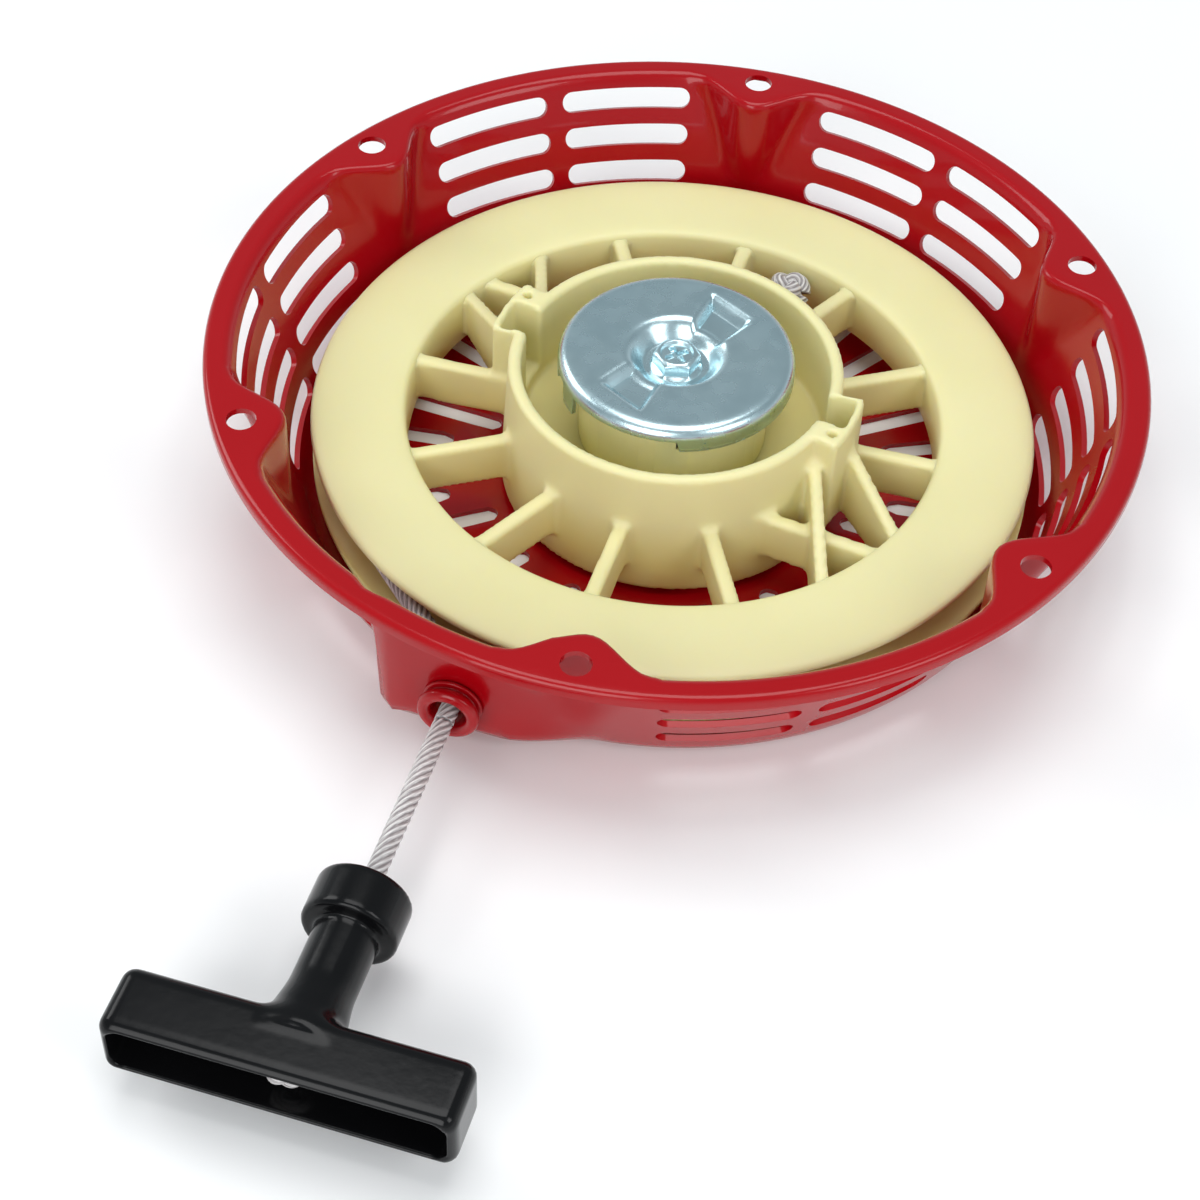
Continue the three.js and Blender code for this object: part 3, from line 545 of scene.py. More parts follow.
def strand_tube(name, path, body, start=0, around=48, size=rope["radius"]):
    """Rope along a path of points: radius(a) = (R - s) cos a + sqrt(s^2 - (R - s)^2 sin^2 a).

    a is the angle from the middle of the nearest strand and s the strand's own radius. The strands turn
    once in each lay. start is the length of rope before the path, so that two pieces can match."""
    path = np.asarray(path, float)
    steps = np.linalg.norm(np.diff(path, axis=0), axis=1)
    along = start + np.concatenate([[0], np.cumsum(steps)])
    tangent = np.gradient(path, axis=0)
    tangent /= np.linalg.norm(tangent, axis=1, keepdims=True)
    side = np.cross((0, 0, 1), tangent)
    side /= np.linalg.norm(side, axis=1, keepdims=True)
    upward = np.cross(tangent, side)

    count = rope["strands"]
    share = math.sin(math.pi / count)
    strand = 1.05 * size * share / (1 + share)
    turns = along / rope["lay"]
    round_it = np.linspace(0, 2 * np.pi, around, endpoint=False)
    position = round_it[None, :] * count / (2 * np.pi) - turns[:, None] * count
    a = (position - np.round(position)) * 2 * np.pi / count
    reach = (size - strand) * np.sin(a)
    radius = (size - strand) * np.cos(a) + np.sqrt(np.maximum(strand**2 - reach**2, 0))
    ring = side[:, None] * np.cos(round_it)[None, :, None]
    ring = ring + upward[:, None] * np.sin(round_it)[None, :, None]
    points = (path[:, None] + radius[..., None] * ring).reshape(-1, 3)

    faces = grid_faces(len(path), around)
    i, j = faces[:, 0] // around, faces[:, 0] % around
    u = np.stack([j, j + 1, j + 1, j], axis=1) * count / around
    v = along[np.stack([i, i, i + 1, i + 1], axis=1)]
    uv = np.stack([u - v / rope["lay"] * count, v], axis=-1).reshape(-1, 2)
    ends = [list(range(around))[::-1], list(range(len(points) - around, len(points)))]
    uv = np.concatenate([uv, np.full((2 * around, 2), 0.5)])
    made = piece(name, points, [*faces.tolist(), *ends], rope_nylon, body, uv)
    return outward(made)


def knot_path(centre, size, steps=160):
    """A trefoil: (cos p (2 + cos 1.5 p), sin p (2 + cos 1.5 p), sin 1.5 p) for p from 0 to two turns."""
    p = np.linspace(0, 4 * np.pi * 0.985, steps)
    reach = 2 + np.cos(1.5 * p)
    shape = np.stack([np.cos(p) * reach, np.sin(p) * reach, 1.6 * np.sin(1.5 * p)], axis=1)
    return np.asarray(centre) + shape / 3 * size


def straight(start, end, step=0.5):
    """Points on a straight line from start to end."""
    count = max(2, int(np.ceil(np.linalg.norm(np.subtract(end, start)) / step)) + 1)
    return np.linspace(start, end, count)


print("rope:", rope["strands"], "strands, one turn in", rope["lay"], "mm")

# %% [markdown]
# The rope leaves the winding along a straight tangent, bends into the eyelet and goes out along the pull
# direction. The bend is a smooth curve, so the path is smoothed over a few millimetres of its length.

# %% Rope pieces
leave_radius = 82.536
bend = outlet_point - 6.5 * axis
bend_angle = math.degrees(math.atan2(bend[1], bend[0]))
leave_angle = bend_angle - math.degrees(math.acos(leave_radius / math.hypot(bend[0], bend[1])))
leave = np.array([*polar(leave_radius, leave_angle), rope["height"]])
mouth, collar, grip_start = 7.17, 54.4, 54.7
run = np.concatenate([straight(leave, bend)[:-1], straight(bend, outlet_point + mouth * axis)])
kernel = np.hanning(15)
padded_run = np.concatenate([np.repeat(run[:1], 7, 0), run, np.repeat(run[-1:], 7, 0)])
smoothed = [np.convolve(padded_run[:, k], kernel / kernel.sum(), "valid") for k in range(3)]
run_path = np.stack(smoothed, axis=1)
run_length = float(np.linalg.norm(np.diff(run_path, axis=0), axis=1).sum())
rope_run = strand_tube("rope_through_eyelet", run_path, "case", start=-run_length)
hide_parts("rope_run")

exit_point = outlet_point + 7.2 * axis
grip_point = outlet_point + collar * axis
free_path = straight(exit_point, grip_point)
rope_free = strand_tube("rope_at_grip", free_path, None)
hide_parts("rope_free")
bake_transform(rope_free)

knot_place = (*polar(59.0, 71), rope["height"] + 1.6)
reel_knot = strand_tube("knot_on_reel", knot_path(knot_place, 3.6), "reel", around=32, size=2.1)
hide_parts("reel_knot")
grip_knot_place = outlet_point + (grip_start + 43.5) * axis
grip_knot = strand_tube("knot_in_grip", knot_path(grip_knot_place, 2.9), "grip", around=32, size=1.7)
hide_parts("grip_knot")

turn_angle = np.radians(np.arange(0, 2 * 360 + 0.1, 0.8))
wound_radius = 79.95 - rope["radius"]
wound_rise = 15.05 + smooth_step((turn_angle / np.pi - 1.6) / 0.8) * 5.1
wound_x, wound_y = wound_radius * np.cos(turn_angle), wound_radius * np.sin(turn_angle)
wound_path = np.stack([wound_x, wound_y, wound_rise], axis=1)
rope_wound = strand_tube("rope_outer_turns", wound_path, "reel", around=32)
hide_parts("rope_on_reel")
inner_turns = rounded([(67.8, 12.8), (77.6, 12.8), (77.6, 22.4), (67.8, 22.4)], 1)
core = piece(
    "rope_inner_turns",
    turned(inner_turns, 120),
    grid_faces(len(inner_turns), 120, close_rows=True),
    rope_nylon,
    "reel",
)
outward(core)

# %% [markdown]
# ## The case
#
# The case is one pressed sheet, so it is one surface with a thickness: the face that shows from above,
# given 1.5 mm of steel behind it. Cutting the slots with booleans would leave long thin faces that shade
# badly on the curved wall. Instead each hole has its own cell in the grid. The cell's border is joined to
# the hole's edge by rings of quads, so the sheet stays smooth right up to the hole.
#
# The face is a function of the angle and of the way up the profile: floor, corner, leaning wall, fillet,
# flat rim and rolled lip. The wall steps in at the six bolt holes, and out to a flat face at the eyelet.

# %% Case surface
sheet_thickness, wall_lean = 1.5, 21.5
lean = math.tan(math.radians(wall_lean))
across = sheet_thickness / math.cos(math.radians(wall_lean))
corner_centre, corner_height, corner_radius = 82.95, 9, 7.5
wall_foot, wall_top, rim_top = 6.25, 43.2, 46.0
cone_radius, lobe_radius, face_distance = 107.2, 96.3, 100
fillet_width, lip_start, lip_radius = 1.9, 110.35, 1.6


def wall_radius(angle, z):
    """The inner face's radius: a cone, drawn in to the lobes and out to the eyelet's flat face."""
    cone = cone_radius - (rim_top - z) * lean
    lobe_angle = np.round((angle - 30) / 60) * 60 + 30
    off_lobe = np.abs(degrees_between(angle, lobe_angle)) / 10
    limit = lobe_radius + (cone_radius - lobe_radius) * smooth_step(off_lobe)
    apart = np.clip(0.5 + (limit - cone) / 4, 0, 1)
    blended = limit * (1 - apart) + cone * apart - 2 * apart * (1 - apart)
    plain = np.where(off_lobe < 1, np.minimum(blended, cone), cone)
    face = face_distance / np.cos(np.radians(degrees_between(angle, pull_angle)))
    left, right = degrees_between(-114.5, angle) / 5.5, degrees_between(angle, -101) / 15
    side = np.clip(np.maximum(left, right), 0, 1)
    below = np.clip(1 - z / 10.5, 0, 1)
    raised = 1 - smooth_step(np.hypot(side, 0.9 * below))
    return plain + np.maximum(0, face - plain) * raised - across


def case_point(angle, level):
    """The face's point at an angle in degrees and a level: 0 to 1 corner, 1 to 2 wall, 2 to 3 fillet,
    3 to 4 flat rim, 4 to 5 lip."""
    angle, level = np.broadcast_arrays(np.asarray(angle, float), np.asarray(level, float))
    t = np.clip(level, 0, 1)
    bend_angle = np.radians(-90 + t * 68.5)
    corner_z = corner_height + corner_radius * np.sin(bend_angle)
    plain_cone = cone_radius - (rim_top - corner_z) * lean - across
    pushed = (wall_radius(angle, corner_z) - plain_cone) * np.sin(t * np.pi / 2)
    corner_r = corner_centre + corner_radius * np.cos(bend_angle) + pushed

    wall_z = wall_foot + np.clip(level - 1, 0, 1) * (wall_top - wall_foot)
    wall_r = wall_radius(angle, wall_z)

    f = np.clip(level - 2, 0, 1)
    low, high = (wall_radius(angle, np.full_like(angle, z)) for z in (wall_top, rim_top))
    fillet_r = (1 - f) ** 2 * low + 2 * f * (1 - f) * high + f**2 * (high + fillet_width)
    fillet_z = (1 - f) ** 2 * wall_top + (1 - (1 - f) ** 2) * rim_top

    rim_r = high + fillet_width + np.clip(level - 3, 0, 1) * (lip_start - high - fillet_width)
    lip = np.clip(level - 4, 0, 1)
    lip_turn = np.radians(np.clip(lip / 0.6, 0, 1) * 90)
    lip_r = lip_start + lip_radius * np.sin(lip_turn)
    lip_z = rim_top - lip_radius * (1 - np.cos(lip_turn)) - np.clip((lip - 0.6) / 0.4, 0, 1) * 1.55

    bounds = [level <= 1, level <= 2, level <= 3, level <= 4]
    radius = np.select(bounds, [corner_r, wall_r, fillet_r, rim_r], lip_r)
    z = np.select(bounds, [corner_z, wall_z, fillet_z, np.full_like(rim_r, rim_top)], lip_z)
    return round_axis(radius, angle, z)


print("wall:", [round(float(wall_radius(0, z)), 1) for z in (wall_foot, wall_top)], "mm, foot and top")

# %% [markdown]
# The angles of the grid are shared by every band, so that the bands meet point to point: lines through
# each column of slots, lines across each lobe, and the borders of the floor's cells.

# %% Grid lines of the case
column_half, lobe_from, lobe_to = 10.7, 21.4, 38.6
column_offsets = np.array([0, 1.6, 3.3, 5, 6.5, 7.9, 8.6, 9.3, 10, 10.7])
column = np.concatenate([-column_offsets[:0:-1], column_offsets])
floor_borders = -102.5 + 10 * np.arange(36)
angles = []
for sector_start in range(-180, 180, 60):
    angles += [*(sector_start + column_half + column), *(sector_start - column_half + column)]
    angles += [*np.linspace(sector_start + lobe_from, sector_start + lobe_to, 19)]
angles = np.unique(np.round(degrees_between(np.array([*angles, *floor_borders]), 0), 4))
row_borders = [7.7, 16.9, 26.1, 35.3, wall_top]
heights = [wall_foot]
for low, high in zip(row_borders, row_borders[1:]):
    heights += [*np.linspace(low, high, 7)[:-1]]
wall_levels = [1 + (z - wall_foot) / (wall_top - wall_foot) for z in [*heights, wall_top]]
levels = [*np.linspace(0, 1, 7)[:-1], *wall_levels, *(2 + np.linspace(0, 1, 6)[1:])]
levels += [*(3 + np.linspace(0, 1, 7)[1:]), *(4 + np.array([0.12, 0.24, 0.36, 0.48, 0.6, 1]))]
levels = np.array(levels)
print(len(angles), "angles and", len(levels), "levels")

# %% [markdown]
# A hole's cell is a block of the grid. Its border points are moved to the nearest point of the hole's
# outline, which is a stadium: all points at one distance from a short middle line. A circle is a stadium
# whose middle line has no length. Two rings between the border and the outline carry the shape over.

# %% Holes in the grid
def nearest_on_stadium(flat, half_line, size, along=0):
    """Points of a stadium about the origin that are nearest to the given flat points."""
    middle = np.zeros_like(flat)
    middle[:, along] = np.clip(flat[:, along], -half_line, half_line)
    away = flat - middle
    return middle + away / np.maximum(np.linalg.norm(away, axis=1, keepdims=True), 1e-9) * size


class Sheet:
    """Collects the points and quads of a surface."""

    def __init__(self):
        self.points, self.faces, self.count = [], [], 0

    def add(self, points, faces):
        self.points.append(np.asarray(points, float).reshape(-1, 3))
        self.faces.append(np.asarray(faces) + self.count)
        self.count += len(self.points[-1])

    def rings(self, loops):
        """Quads between loops of points, each closed round."""
        loops = np.asarray(loops)
        self.add(loops.reshape(-1, 3), grid_faces(loops.shape[0], loops.shape[1]))


def border(first, second):
    """The pairs round the edge of a block whose lines are at the given values."""
    low = [(a, second[0]) for a in first[:-1]]
    far = [(first[-1], b) for b in second[:-1]]
    high = [(a, second[-1]) for a in first[:0:-1]]
    near = [(first[0], b) for b in second[:0:-1]]
    return np.array(low + far + high + near, float)


def level_at(z):
    """The wall's level at a height."""
    return 1 + (np.asarray(z) - wall_foot) / (wall_top - wall_foot)


def height_at(level):
    """The height at one of the wall's levels."""
    return wall_foot + (np.asarray(level) - 1) * (wall_top - wall_foot)


slot_radius, outlet_radius, bolt_hole_radius, bolt_circle = 2.6, 5.9, 3.5, 105
spread_of_rings = (0, 0.45, 0.8, 1)
case_sheet = Sheet()
holes = []
for sector_start in range(-180, 180, 60):
    for side in (-column_half, column_half):
        middle = sector_start + side
        if abs(degrees_between(middle, -109.3)) < 1:
            continue
        for low, high, z in zip(row_borders, row_borders[1:], (12.3, 21.5, 30.7, 39.9)):
            block = (middle - column_half, middle + column_half, level_at(low), level_at(high))
            holes.append(("slot", *block, (middle, z)))
    lobe_edge = 4 * (lobe_to - lobe_from) / 18
    lobe_block = (sector_start + lobe_from + lobe_edge, sector_start + lobe_to - lobe_edge)
    holes.append(("bolt", *lobe_block, 3, 4, sector_start + 30))
holes.append(("outlet", -114.3, -99.3, level_at(7.7), level_at(26.1), None))

covered = np.zeros((len(angles), len(levels)), bool)
for kind, angle_from, angle_to, level_from, level_to, about in holes:
    inside = degrees_between(angles, angle_from) > -0.01
    inside &= degrees_between(angle_to, angles) > -0.01
    picked = np.flatnonzero(inside)
    picked = picked[np.argsort(degrees_between(angles[picked], angle_from))]
    rows = np.flatnonzero((levels > level_from - 1e-6) & (levels < level_to + 1e-6))
    covered[np.ix_(picked[:-1], rows[:-1])] = True
    turn_by = degrees_between(angles[picked], angle_from) + angle_from
    edge = border(turn_by, levels[rows])
    if kind == "slot":
        middle, z = about
        scale = np.radians(1) * float(wall_radius(middle, z))
        flat = np.stack([(edge[:, 0] - middle) * scale, height_at(edge[:, 1]) - z], axis=1)
        goal = nearest_on_stadium(flat, 9.5 * scale - slot_radius, slot_radius)
        loops = [flat + (goal - flat) * t for t in spread_of_rings]
        loops = [case_point(middle + p[:, 0] / scale, level_at(p[:, 1] + z)) for p in loops]
    elif kind == "outlet":
        across_face = face_distance * np.tan(np.radians(edge[:, 0] - pull_angle))
        centre_at = face_distance * math.tan(math.radians(-106.3 - pull_angle))
        flat = np.stack([across_face - centre_at, height_at(edge[:, 1]) - rope["height"]], axis=1)
        goal = nearest_on_stadium(flat, 0, outlet_radius)
        loops = [flat + (goal - flat) * t for t in spread_of_rings]
        loops = [
            case_point(
                pull_angle + np.degrees(np.arctan((p[:, 0] + centre_at) / face_distance)),
                level_at(p[:, 1] + rope["height"]),
            )
            for p in loops
        ]
    else:
        outer = case_point(edge[:, 0], edge[:, 1])
        centre_at = np.array([*polar(bolt_circle, about), rim_top])
        nearest = nearest_on_stadium((outer - centre_at)[:, :2], 0, bolt_hole_radius)
        goal = centre_at + np.pad(nearest, ((0, 0), (0, 1)))
        loops = [outer + (goal - outer) * t for t in spread_of_rings]
    case_sheet.rings(loops)

face_grid = case_point(angles[:, None], levels[None, :])
quads = grid_faces(len(angles), len(levels), close_rows=True, close_columns=False)
first = quads[:, 0]
case_sheet.add(face_grid, quads[~covered[first // len(levels), first % len(levels)]])
print(len(holes), "holes in the wall and the rim")

# %% [markdown]
# The floor is flat, so its cells are worked in plan. There are 36 slots, long and short in turn.

# %% Floor of the case
floor_rows = np.array([40, 46, 52, 58, 64, 70, 76, corner_centre])
slots_end, long_slot, short_slot, floor_slot_radius = 77.95, 33, 23, 2.5
for index in range(36):
    middle = -107.5 + 10 * index
    inside = np.abs(degrees_between(angles, middle)) < 5.01
    turn_by = np.sort(degrees_between(angles[inside], middle))
    edge = border(turn_by, floor_rows)
    flat = round_axis(edge[:, 1], edge[:, 0], 0)[:, :2]
    length = long_slot if index % 2 == 0 else short_slot
    about = np.array([slots_end - length / 2, 0])
    goal = about + nearest_on_stadium(flat - about, length / 2 - floor_slot_radius, floor_slot_radius)
    swing = np.radians(middle)
    spin = np.array([[math.cos(swing), math.sin(swing)], [-math.sin(swing), math.cos(swing)]])
    loops = [(flat + (goal - flat) * t) @ spin for t in spread_of_rings]
    case_sheet.rings([np.pad(p, ((0, 0), (0, 1)), constant_values=sheet_thickness) for p in loops])
case_sheet.rings([round_axis(radius, angles, sheet_thickness) for radius in (40, 30, 18, 6)])

starter_case = piece(
    "case_pressing",
    np.concatenate(case_sheet.points),
    np.concatenate(case_sheet.faces),
    case_paint,
    "case",
)
welded = bmesh.new()
welded.from_mesh(starter_case.data)
bmesh.ops.remove_doubles(welded, verts=welded.verts, dist=0.02 * MM)
open_edges = [e for e in welded.edges if e.is_boundary]
open_edges = [e for e in open_edges if max(v.co.xy.length for v in e.verts) < 6.5 * MM]
bmesh.ops.contextual_create(welded, geom=open_edges)
bmesh.ops.recalc_face_normals(welded, faces=welded.faces)
floor_face = min(welded.faces, key=lambda f: f.calc_center_median().length)
if floor_face.normal.z < 0:
    bmesh.ops.reverse_faces(welded, faces=welded.faces)
welded.to_mesh(starter_case.data)
welded.free()
thick = starter_case.modifiers.new("sheet", "SOLIDIFY")
thick.thickness = sheet_thickness * MM
thick.offset = -1
thick.use_even_offset = True
edges = starter_case.modifiers.new("edges", "BEVEL")
edges.width = 0.35 * MM
edges.segments = 2
edges.limit_method = "ANGLE"
edges.angle_limit = math.radians(50)
edges.harden_normals = True
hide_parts("starter_case")
print("case:", len(starter_case.data.polygons), "faces")

# %% [markdown]
# ## The eyelet
#
# The eyelet is a turned ring with its axis along the rope: a back lip inside the case, a neck in the
# hole, and outside a collar, a narrow groove and a full round lip for the rope to run over.

# %% Eyelet
back_part = [(4.1, -2.6), (5.0, -3.4), (6.8, -3.4), (6.8, -1.9), (5.5, -1.9), (5.5, 0.3)]
collar_part = [(6.9, 0.3), (7.0, 1.2), (5.8, 1.4), (5.75, 2.0)]
lip_turn = np.radians(np.linspace(-105, 180, 22))
lip_part = np.stack([5.65 + 1.55 * np.cos(lip_turn), 3.62 + 1.55 * np.sin(lip_turn)], axis=1)
eyelet_section = np.concatenate([rounded([*back_part, *collar_part], 0.4, 4, closed=False), lip_part])
stand = turned(eyelet_section, 72)
to_axis = np.stack([np.cross((0, 0, 1), axis), (0, 0, 1), axis], axis=0)
eyelet = piece(
    "eyelet_ring",
    outlet_point + stand @ to_axis,
    grid_faces(len(eyelet_section), 72, close_rows=True),
    case_paint,
    "case",
)
outward(eyelet)
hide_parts("rope_eyelet")
print("eyelet:", len(eyelet.data.polygons), "faces")

# %% [markdown]
# ## Moulded pieces as fields of distance
#
# The reel's webs run into its cup and its drum with soft fillets, which no sweep or turned profile gives.
# So a moulding is written as a field: at every point of a grid, the distance to the surface, negative
# inside. Two shapes are joined by the smaller of their distances, and a smooth smaller-of makes a fillet
# where they meet. The surface where the field is zero is then turned into quads.

# %% Distance fields
def join(a, b, fillet):
    """The smaller of two distances: min(a, b) - h^2 / (4 fillet), with h = max(fillet - |a - b|, 0)."""
    h = np.maximum(fillet - np.abs(a - b), 0)
    return np.minimum(a, b) - h * h / (4 * fillet)


def cut(a, b, fillet):
    """The first shape without the second."""
    return -join(-a, b, fillet)


def box_distance(half_sizes, *across):
    """Distance to a box about the origin: |max(q, 0)| + min(max(q), 0), with q = |p| - half size."""
    q = [np.abs(p) - h for p, h in zip(across, half_sizes)]
    outside = np.sqrt(sum(np.maximum(part, 0) ** 2 for part in q))
    inner = q[0]
    for part in q[1:]:
        inner = np.maximum(inner, part)
    return outside + np.minimum(inner, 0)


def field_grid(low, high, step):
    """Grid coordinates between two corners, as three arrays that broadcast."""
    lines = [np.arange(a, b + step, step) for a, b in zip(low, high)]
    return np.meshgrid(*lines, indexing="ij", sparse=True)


def surface_of(field, low, step):
    """Points and quads of the field's zero surface.

    Each cell that the surface crosses gets one point, the mean of the crossings on its edges. Each grid
    line between two points of opposite sign gets the quad of the four cells round it."""
    inside = field < 0
    shape = np.array(field.shape)
    cells = shape - 1
    total = np.zeros((*cells, 3))
    number = np.zeros(cells)
    for way in range(3):
        here = tuple(slice(0, -1) if k == way else slice(None) for k in range(3))
        there = tuple(slice(1, None) if k == way else slice(None) for k in range(3))
        crossed = inside[here] != inside[there]
        share = np.where(crossed, field[here] / np.where(crossed, field[here] - field[there], 1), 0)
        others = [k for k in range(3) if k != way]
        for first in (0, 1):
            for second in (0, 1):
                window = [slice(None)] * 3
                window[others[0]] = slice(first, first + cells[others[0]])
                window[others[1]] = slice(second, second + cells[others[1]])
                hit = crossed[tuple(window)]
                number += hit
                total[..., way] += share[tuple(window)] * hit
                total[..., others[0]] += first * hit
                total[..., others[1]] += second * hit
    used = number > 0
    index = np.full(tuple(cells), -1)
    index[used] = np.arange(used.sum())
    at = np.argwhere(used) + total[used] / number[used][:, None]
    points = np.asarray(low) + at * step

    faces = []
    for way in range(3):
        others = [(way + 1) % 3, (way + 2) % 3]
        core = [slice(1, -1)] * 3
        core[way] = slice(0, -1)
        after = list(core)
        after[way] = slice(1, None)
        crossed = np.argwhere(inside[tuple(core)] != inside[tuple(after)])
        flipped = inside[tuple(core)][tuple(crossed.T)]
        base = crossed + 1
        base[:, way] -= 1
        ring = []
        for first, second in ((-1, -1), (0, -1), (0, 0), (-1, 0)):
            corner = base.copy()
            corner[:, others[0]] += first
            corner[:, others[1]] += second
            ring.append(index[tuple(corner.T)])
        quad = np.stack(ring, axis=1)
        faces.append(np.where(flipped[:, None], quad, quad[:, ::-1]))
    return points, np.concatenate(faces)


square = [float(box_distance((1, 1), x, 0)) for x in (0, 3)]
print("distance to a 2 mm square, from its centre and from 2 mm outside it:", square)

# %% [markdown]
# ## The reel's flanges
#
# The spool round the outside is turned: two flanges with the groove between them. The upper flange is
# domed, its top falls away to both edges in one soft curve.

# %% Reel flanges
drum_inner, drum_outer, flange_radius = 64.986, 67.486, 87.95
flange_top = 25.0


def domed(first, last, low, high, steps=14):
    """A curve over the top, as w runs from -1 to 1: height = low + (high - low)(1 - |w|^5)^(1 / 2.5).

    The radius runs from the first to the last with w, in shorter steps near both ends."""
    u = np.linspace(-1, 1, steps)
    u = np.sign(u) * np.abs(u) ** 0.6
    heights = [low + (high - low) * (1 - abs(w) ** 5) ** (1 / 2.5) for w in u]
    return [(first + (last - first) * (w + 1) / 2, height) for w, height in zip(u, heights)]


spool_section = np.array(
    [
        *domed(drum_inner, flange_radius, 23.1, flange_top, 26),
        (flange_radius - 0.5, 22.75),
        *[(r, 22.7) for r in (84, 78, 72)],
        (drum_outer, 22.4),
        (drum_outer, 12.8),
        *[(r, 12.5) for r in (72, 78, 84)],
        (flange_radius - 0.4, 12.3),
        (flange_radius, 11.9),
        (flange_radius, 10.6),
        (flange_radius - 0.5, 10.2),
        (drum_inner + 0.5, 10.2),
        (drum_inner, 10.7),
        (drum_inner, 17.0),
    ]
)
spool = piece(
    "reel_flanges",
    turned(spool_section, 240),
    grid_faces(len(spool_section), 240, close_rows=True),
    reel_nylon,
    "reel",
)
outward(spool)
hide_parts("reel")
print("flanges:", len(spool.data.polygons), "faces")

# %% [markdown]
# ## The reel's cup and webs
#
# Inside the flanges are the cup that the return spring and the ratchets work in and the webs out to the
# drum. The cup's wall swells out at two places into a box with a bay on its inner side. Most webs are
# radial. At each swelling there are also two slanting ones, which run up to the top of the swelling.

# %% Reel cup and webs
cup = {"inner": 37.2, "outer": 40.2, "foot": 3.2, "rim": 38.45, "floor": (14.0, 17.0), "bulge": 46.0}
web_foot, web_top = 11.2, 23.2
plain_webs = [(28, 28), (58, 58), (85, 85), (114, 114), (132, 148), (-2, -2)]
rising_webs = [(158, 133, 27.5), (176, 154, 27.5)]

reel_step = 0.85
reel_low = (-68.5, -68.5, 2.0)
X, Y, Z = field_grid(reel_low, (68.5, 68.5, 40.0), reel_step)
R = np.sqrt(X * X + Y * Y)
A = np.degrees(np.arctan2(Y, X))

drum = box_distance((1.0, 5.4), R - (drum_inner + 1.15), Z - 17.2) - 0.1
wall_mid = (cup["inner"] + cup["outer"]) / 2
wall_half = (cup["rim"] - cup["foot"]) / 2
draft = np.clip(cup["rim"] - Z, 0, 30) * 0.05
wall_z = Z - (cup["foot"] + wall_half)
field = box_distance((0.9 + draft / 2, wall_half - 0.6), R - wall_mid - draft / 2, wall_z) - 0.6
floor_half = (cup["floor"][1] - cup["floor"][0]) / 2
cup_floor = box_distance((14.6, floor_half - 0.3), R - 23.2, Z - (cup["floor"][0] + floor_half)) - 0.3
field = join(field, cup_floor, 1.5)


def web(start, end, foot, top_start, top_end, thickness):
    """Distance to an upright wall between two points in plan, whose top goes from one height to another."""
    (ax, ay), (bx, by) = start, end
    length = math.hypot(bx - ax, by - ay)
    ux, uy = (bx - ax) / length, (by - ay) / length
    along = (X - ax) * ux + (Y - ay) * uy
    side = (Y - ay) * ux - (X - ax) * uy
    share = np.clip(along / length, 0, 1)
    top = top_start + (top_end - top_start) * share
    middle, half = (top + foot) / 2, (top - foot) / 2
    half_sizes = (length / 2, thickness / 2 - 0.4, half - 0.4)
    return box_distance(half_sizes, along - length / 2, side, Z - middle) - 0.4


webs = drum
for half in (0, 180):
    for cup_angle, drum_angle in plain_webs:
        start, end = polar(wall_mid + 0.6, half + cup_angle), polar(drum_inner + 1.2, half + drum_angle)
        webs = join(webs, web(start, end, web_foot, web_top, web_top, 3.6), 1.2)
    for cup_angle, drum_angle, top in rising_webs:
        start, end = polar(wall_mid + 0.8, half + cup_angle), polar(drum_inner + 1.2, half + drum_angle)
        webs = join(webs, web(start, end, web_foot, top + 5, web_top, 3.0), 1.2)
field = join(field, webs, 2.2)

for half in (0, 180):
    off = degrees_between(A, half - 13)
    swelling = box_distance(
        (2.9, 8.2, 13.2), R - 42.6, off * np.radians(1) * 42.6, Z - (cup["rim"] - 13.2 - 0.35)
    ) - 0.5
    bay_off = degrees_between(A, half - 9.2)
    bay = box_distance((3.6, 4.2, 10.5), R - 40.0, bay_off * np.radians(1) * 42.0, Z - 31.5) - 0.6
    hole_x, hole_y = polar(42.9, half - 20.0)
    small_hole = box_distance((0.9, 2.4), np.sqrt((X - hole_x) ** 2 + (Y - hole_y) ** 2), Z - 38.5) - 0.2
    field = cut(cut(join(field, swelling, 1.2), bay, 0.5), small_hole, 0.3)

knot_x, knot_y = polar(59.4, 71)
knot_room = np.sqrt((X - knot_x) ** 2 + (Y - knot_y) ** 2 + (Z - rope["height"]) ** 2) - 5.4
field = cut(field, knot_room, 0.4)
field = np.maximum(field, 8.0 - R)

points, faces = surface_of(field, reel_low, reel_step)
reel_centre = piece("reel_cup_and_webs", points, faces, reel_nylon, "reel")
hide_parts("reel_cup")
print("cup and webs:", len(points), "points,", len(faces), "quads")

# %% [markdown]
# ## The ratchet guide
#
# The guide is one stamped plate, so it is a height over a polar grid: flat, with a round recess for the
# bolt, two channels out from the recess that flare on one side, and an edge that turns down. Round the
# edge the turned-down part is long in two skirts and two tabs, and short between them.
#
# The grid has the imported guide's upper face, but it faces down, so the sheet's thickness is added above
# and outside it. The plate stands 1.1 mm higher and 1.1 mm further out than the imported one, the bolt's
# flange sinks 0.8 mm into it, and the channels reach into the top of the hub.

# %% Ratchet guide
guide = {"top": 41.3, "recess_depth": 4.5, "channel_angle": 57.3, "edge_start": 25.6, "edge_radius": 1.75}
around = 540
turn_by = np.linspace(0, 360, around, endpoint=False)
plate_rows = np.concatenate([[3.6, 5, 6.5], np.linspace(7.6, 13.5, 14), np.linspace(14.0, 24.4, 27), [25.2]])


